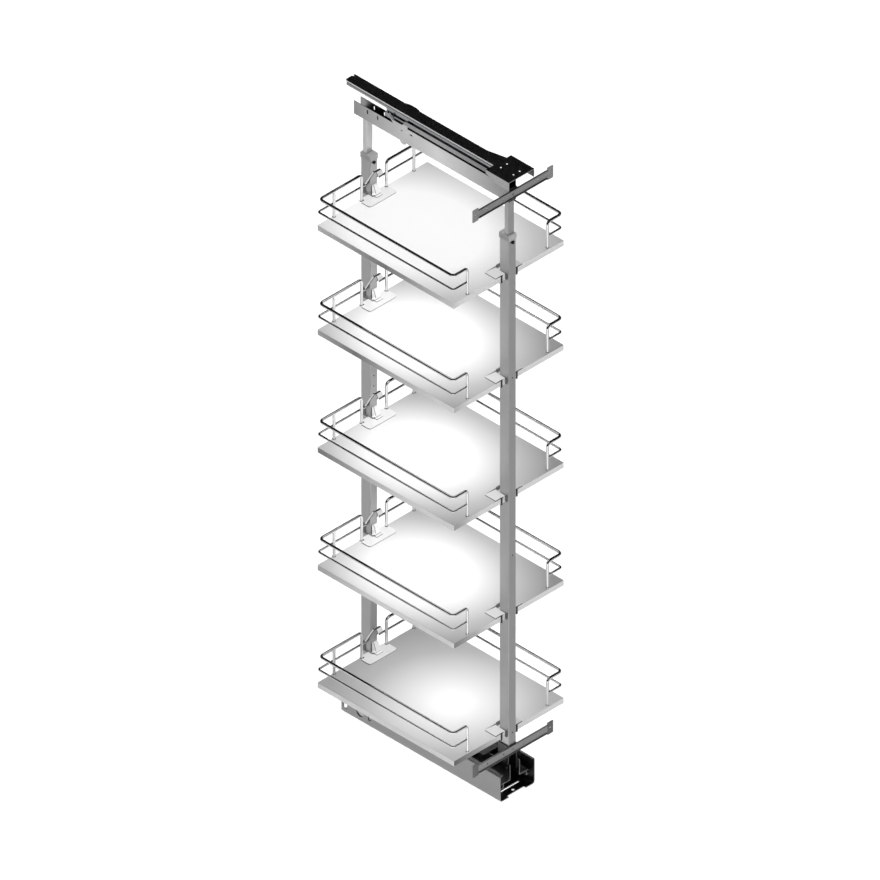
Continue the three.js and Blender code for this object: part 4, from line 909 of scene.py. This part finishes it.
FLOOR_SIZE, FLOOR_HEIGHT, FLOOR_GLOW = 60, -0.0005, 0.25
floor_paint, floor_tree, floor_output = new_material("white_floor")
rays = add_node(floor_tree, "ShaderNodeLightPath")
seen = add_node(floor_tree, "ShaderNodeMath", {"operation": "MAXIMUM"})
floor_tree.links.new(rays.outputs["Is Camera Ray"], seen.inputs[0])
floor_tree.links.new(rays.outputs["Is Glossy Ray"], seen.inputs[1])
glow = add_node(floor_tree, "ShaderNodeMath", {"operation": "MULTIPLY"})
floor_tree.links.new(seen.outputs["Value"], glow.inputs[0])
glow.inputs[1].default_value = FLOOR_GLOW
floor_shader = add_node(floor_tree, "ShaderNodeBsdfPrincipled",
                        {"Base Color": linear("#f4f4f4"), "Roughness": 0.9,
                         "Emission Color": (1, 1, 1, 1)},
                        Emission_Strength=glow.outputs["Value"])
floor_tree.links.new(floor_shader.outputs["BSDF"], floor_output.inputs["Surface"])
half = FLOOR_SIZE / 2
stage_sheet("studio_floor", [(x, y, FLOOR_HEIGHT) for x, y in
                             ((-half, -half), (half, -half), (half, half), (-half, half))],
            [(0, 1, 2, 3)], floor_paint)
print("floor:", FLOOR_SIZE, "m wide")

# %% The tent
TENT_RADIUS, TENT_RIM, TENT_TOP = 4.2, 0.45, 3.4
TENT_RINGS, TENT_SIDES = 13, 48


def only_mirrored(thing):
    """Hides a stage piece from everything but reflections."""
    thing.visible_camera = False
    thing.visible_diffuse = False
    thing.visible_shadow = False
    thing.visible_transmission = False


black_cloth, cloth_tree, cloth_output = new_material("black_cloth")
cloth_shader = add_node(cloth_tree, "ShaderNodeBsdfDiffuse", {"Color": (0.02, 0.02, 0.02, 1)})
cloth_tree.links.new(cloth_shader.outputs["BSDF"], cloth_output.inputs["Surface"])
rise = np.linspace(0, np.pi / 2, TENT_RINGS)
tent_profile = np.column_stack([np.maximum(TENT_RADIUS * np.cos(rise), 0.01),
                                TENT_RIM + (TENT_TOP - TENT_RIM) * np.sin(rise)])
tent_points, tent_faces = turned(tent_profile, (0, 0, 0), TENT_SIDES)
only_mirrored(stage_sheet("dark_tent", tent_points, tent_faces[:-2], black_cloth))
print("tent:", len(tent_faces) - 2, "faces, rim at", TENT_RIM, "m")

# %% [markdown]
# ## Grey cards on the floor
# Steel that mirrors nothing but a white floor looks like paper. Grey cards lie flat on the floor
# to the left, behind and to the right, so faces that look there turn grey, an upright wire gets
# grey flanks, and only what faces the viewer stays white.

# %% The cards
CARD_INNER, CARD_OUTER, CARD_POINTS = 0.30, 4.1, 25


def card(name, from_degrees, to_degrees, brightness):
    """A flat sector of a ring about the object, as a sheet that shines evenly in reflections."""
    turn = np.radians(np.linspace(from_degrees, to_degrees, CARD_POINTS))
    rings = [np.stack([r * np.cos(turn), r * np.sin(turn), np.zeros(CARD_POINTS)], axis=1)
             for r in (CARD_INNER, CARD_OUTER)]
    faces = [(i, i + CARD_POINTS, i + CARD_POINTS + 1, i + 1) for i in range(CARD_POINTS - 1)]
    paper, tree, output = new_material(name + "_paper")
    shine = add_node(tree, "ShaderNodeEmission",
                     {"Color": (1, 1, 1, 1), "Strength": brightness})
    tree.links.new(shine.outputs["Emission"], output.inputs["Surface"])
    only_mirrored(stage_sheet(name, np.concatenate(rings), faces, paper))


CARDS = (("left_card", 100, 190, 0.70), ("back_card", -10, 100, 0.50),
         ("right_card", -100, -10, 0.58))
for name, from_degrees, to_degrees, brightness in CARDS:
    card(name, from_degrees, to_degrees, brightness)
print("cards:", [entry[0] for entry in CARDS])

# %% [markdown]
# ## The world and the lamps
# The world is white to the eye and in mirrors, and dimmer as a light, so it fills without washing
# out. One broad sun comes from above the front and a weaker one from behind. They cast no shadow.

# %% The world
WORLD_FILL = 0.34
world = bpy.data.worlds.new("studio_world")
bpy.context.scene.world = world
world.use_nodes = True
world_tree = world.node_tree
world_tree.nodes.clear()
world_rays = add_node(world_tree, "ShaderNodeLightPath")
shown = add_node(world_tree, "ShaderNodeMath", {"operation": "MAXIMUM"})
world_tree.links.new(world_rays.outputs["Is Camera Ray"], shown.inputs[0])
world_tree.links.new(world_rays.outputs["Is Glossy Ray"], shown.inputs[1])
shown_too = add_node(world_tree, "ShaderNodeMath", {"operation": "MAXIMUM"})
world_tree.links.new(shown.outputs["Value"], shown_too.inputs[0])
world_tree.links.new(world_rays.outputs["Is Transmission Ray"], shown_too.inputs[1])
strength = add_node(world_tree, "ShaderNodeMapRange", {"To Min": WORLD_FILL, "To Max": 1.0},
                    Value=shown_too.outputs["Value"])
sky = add_node(world_tree, "ShaderNodeBackground", {"Color": (1, 1, 1, 1)},
               Strength=strength.outputs["Result"])
world_output = world_tree.nodes.new("ShaderNodeOutputWorld")
world_tree.links.new(sky.outputs["Background"], world_output.inputs["Surface"])
print("world fill:", WORLD_FILL)


# %% The lamps
def lamp(name, from_direction, level, spread_degrees=25):
    """A sun lamp with no shadow: level is how bright a white face turned to it becomes.

    A white face sends out the strength of a sun divided by pi, so the strength is level times pi.
    """
    data = bpy.data.lights.new(name, "SUN")
    data.energy = level * np.pi
    data.angle = np.radians(spread_degrees)
    data.use_shadow = False
    made = bpy.data.objects.new(name, data)
    bpy.context.scene.collection.objects.link(made)
    x, y, z = np.asarray(from_direction, float) / np.linalg.norm(from_direction)
    made.rotation_euler = (np.arccos(z), 0, np.arctan2(y, x) + np.pi / 2)
    made.visible_glossy = False


lamp("front_key", (-0.05, -0.5, 0.86), 0.70)
lamp("back_fill", (0.6, 0.55, 0.45), 0.16)
print("lamps:", [light.name for light in bpy.data.lights])
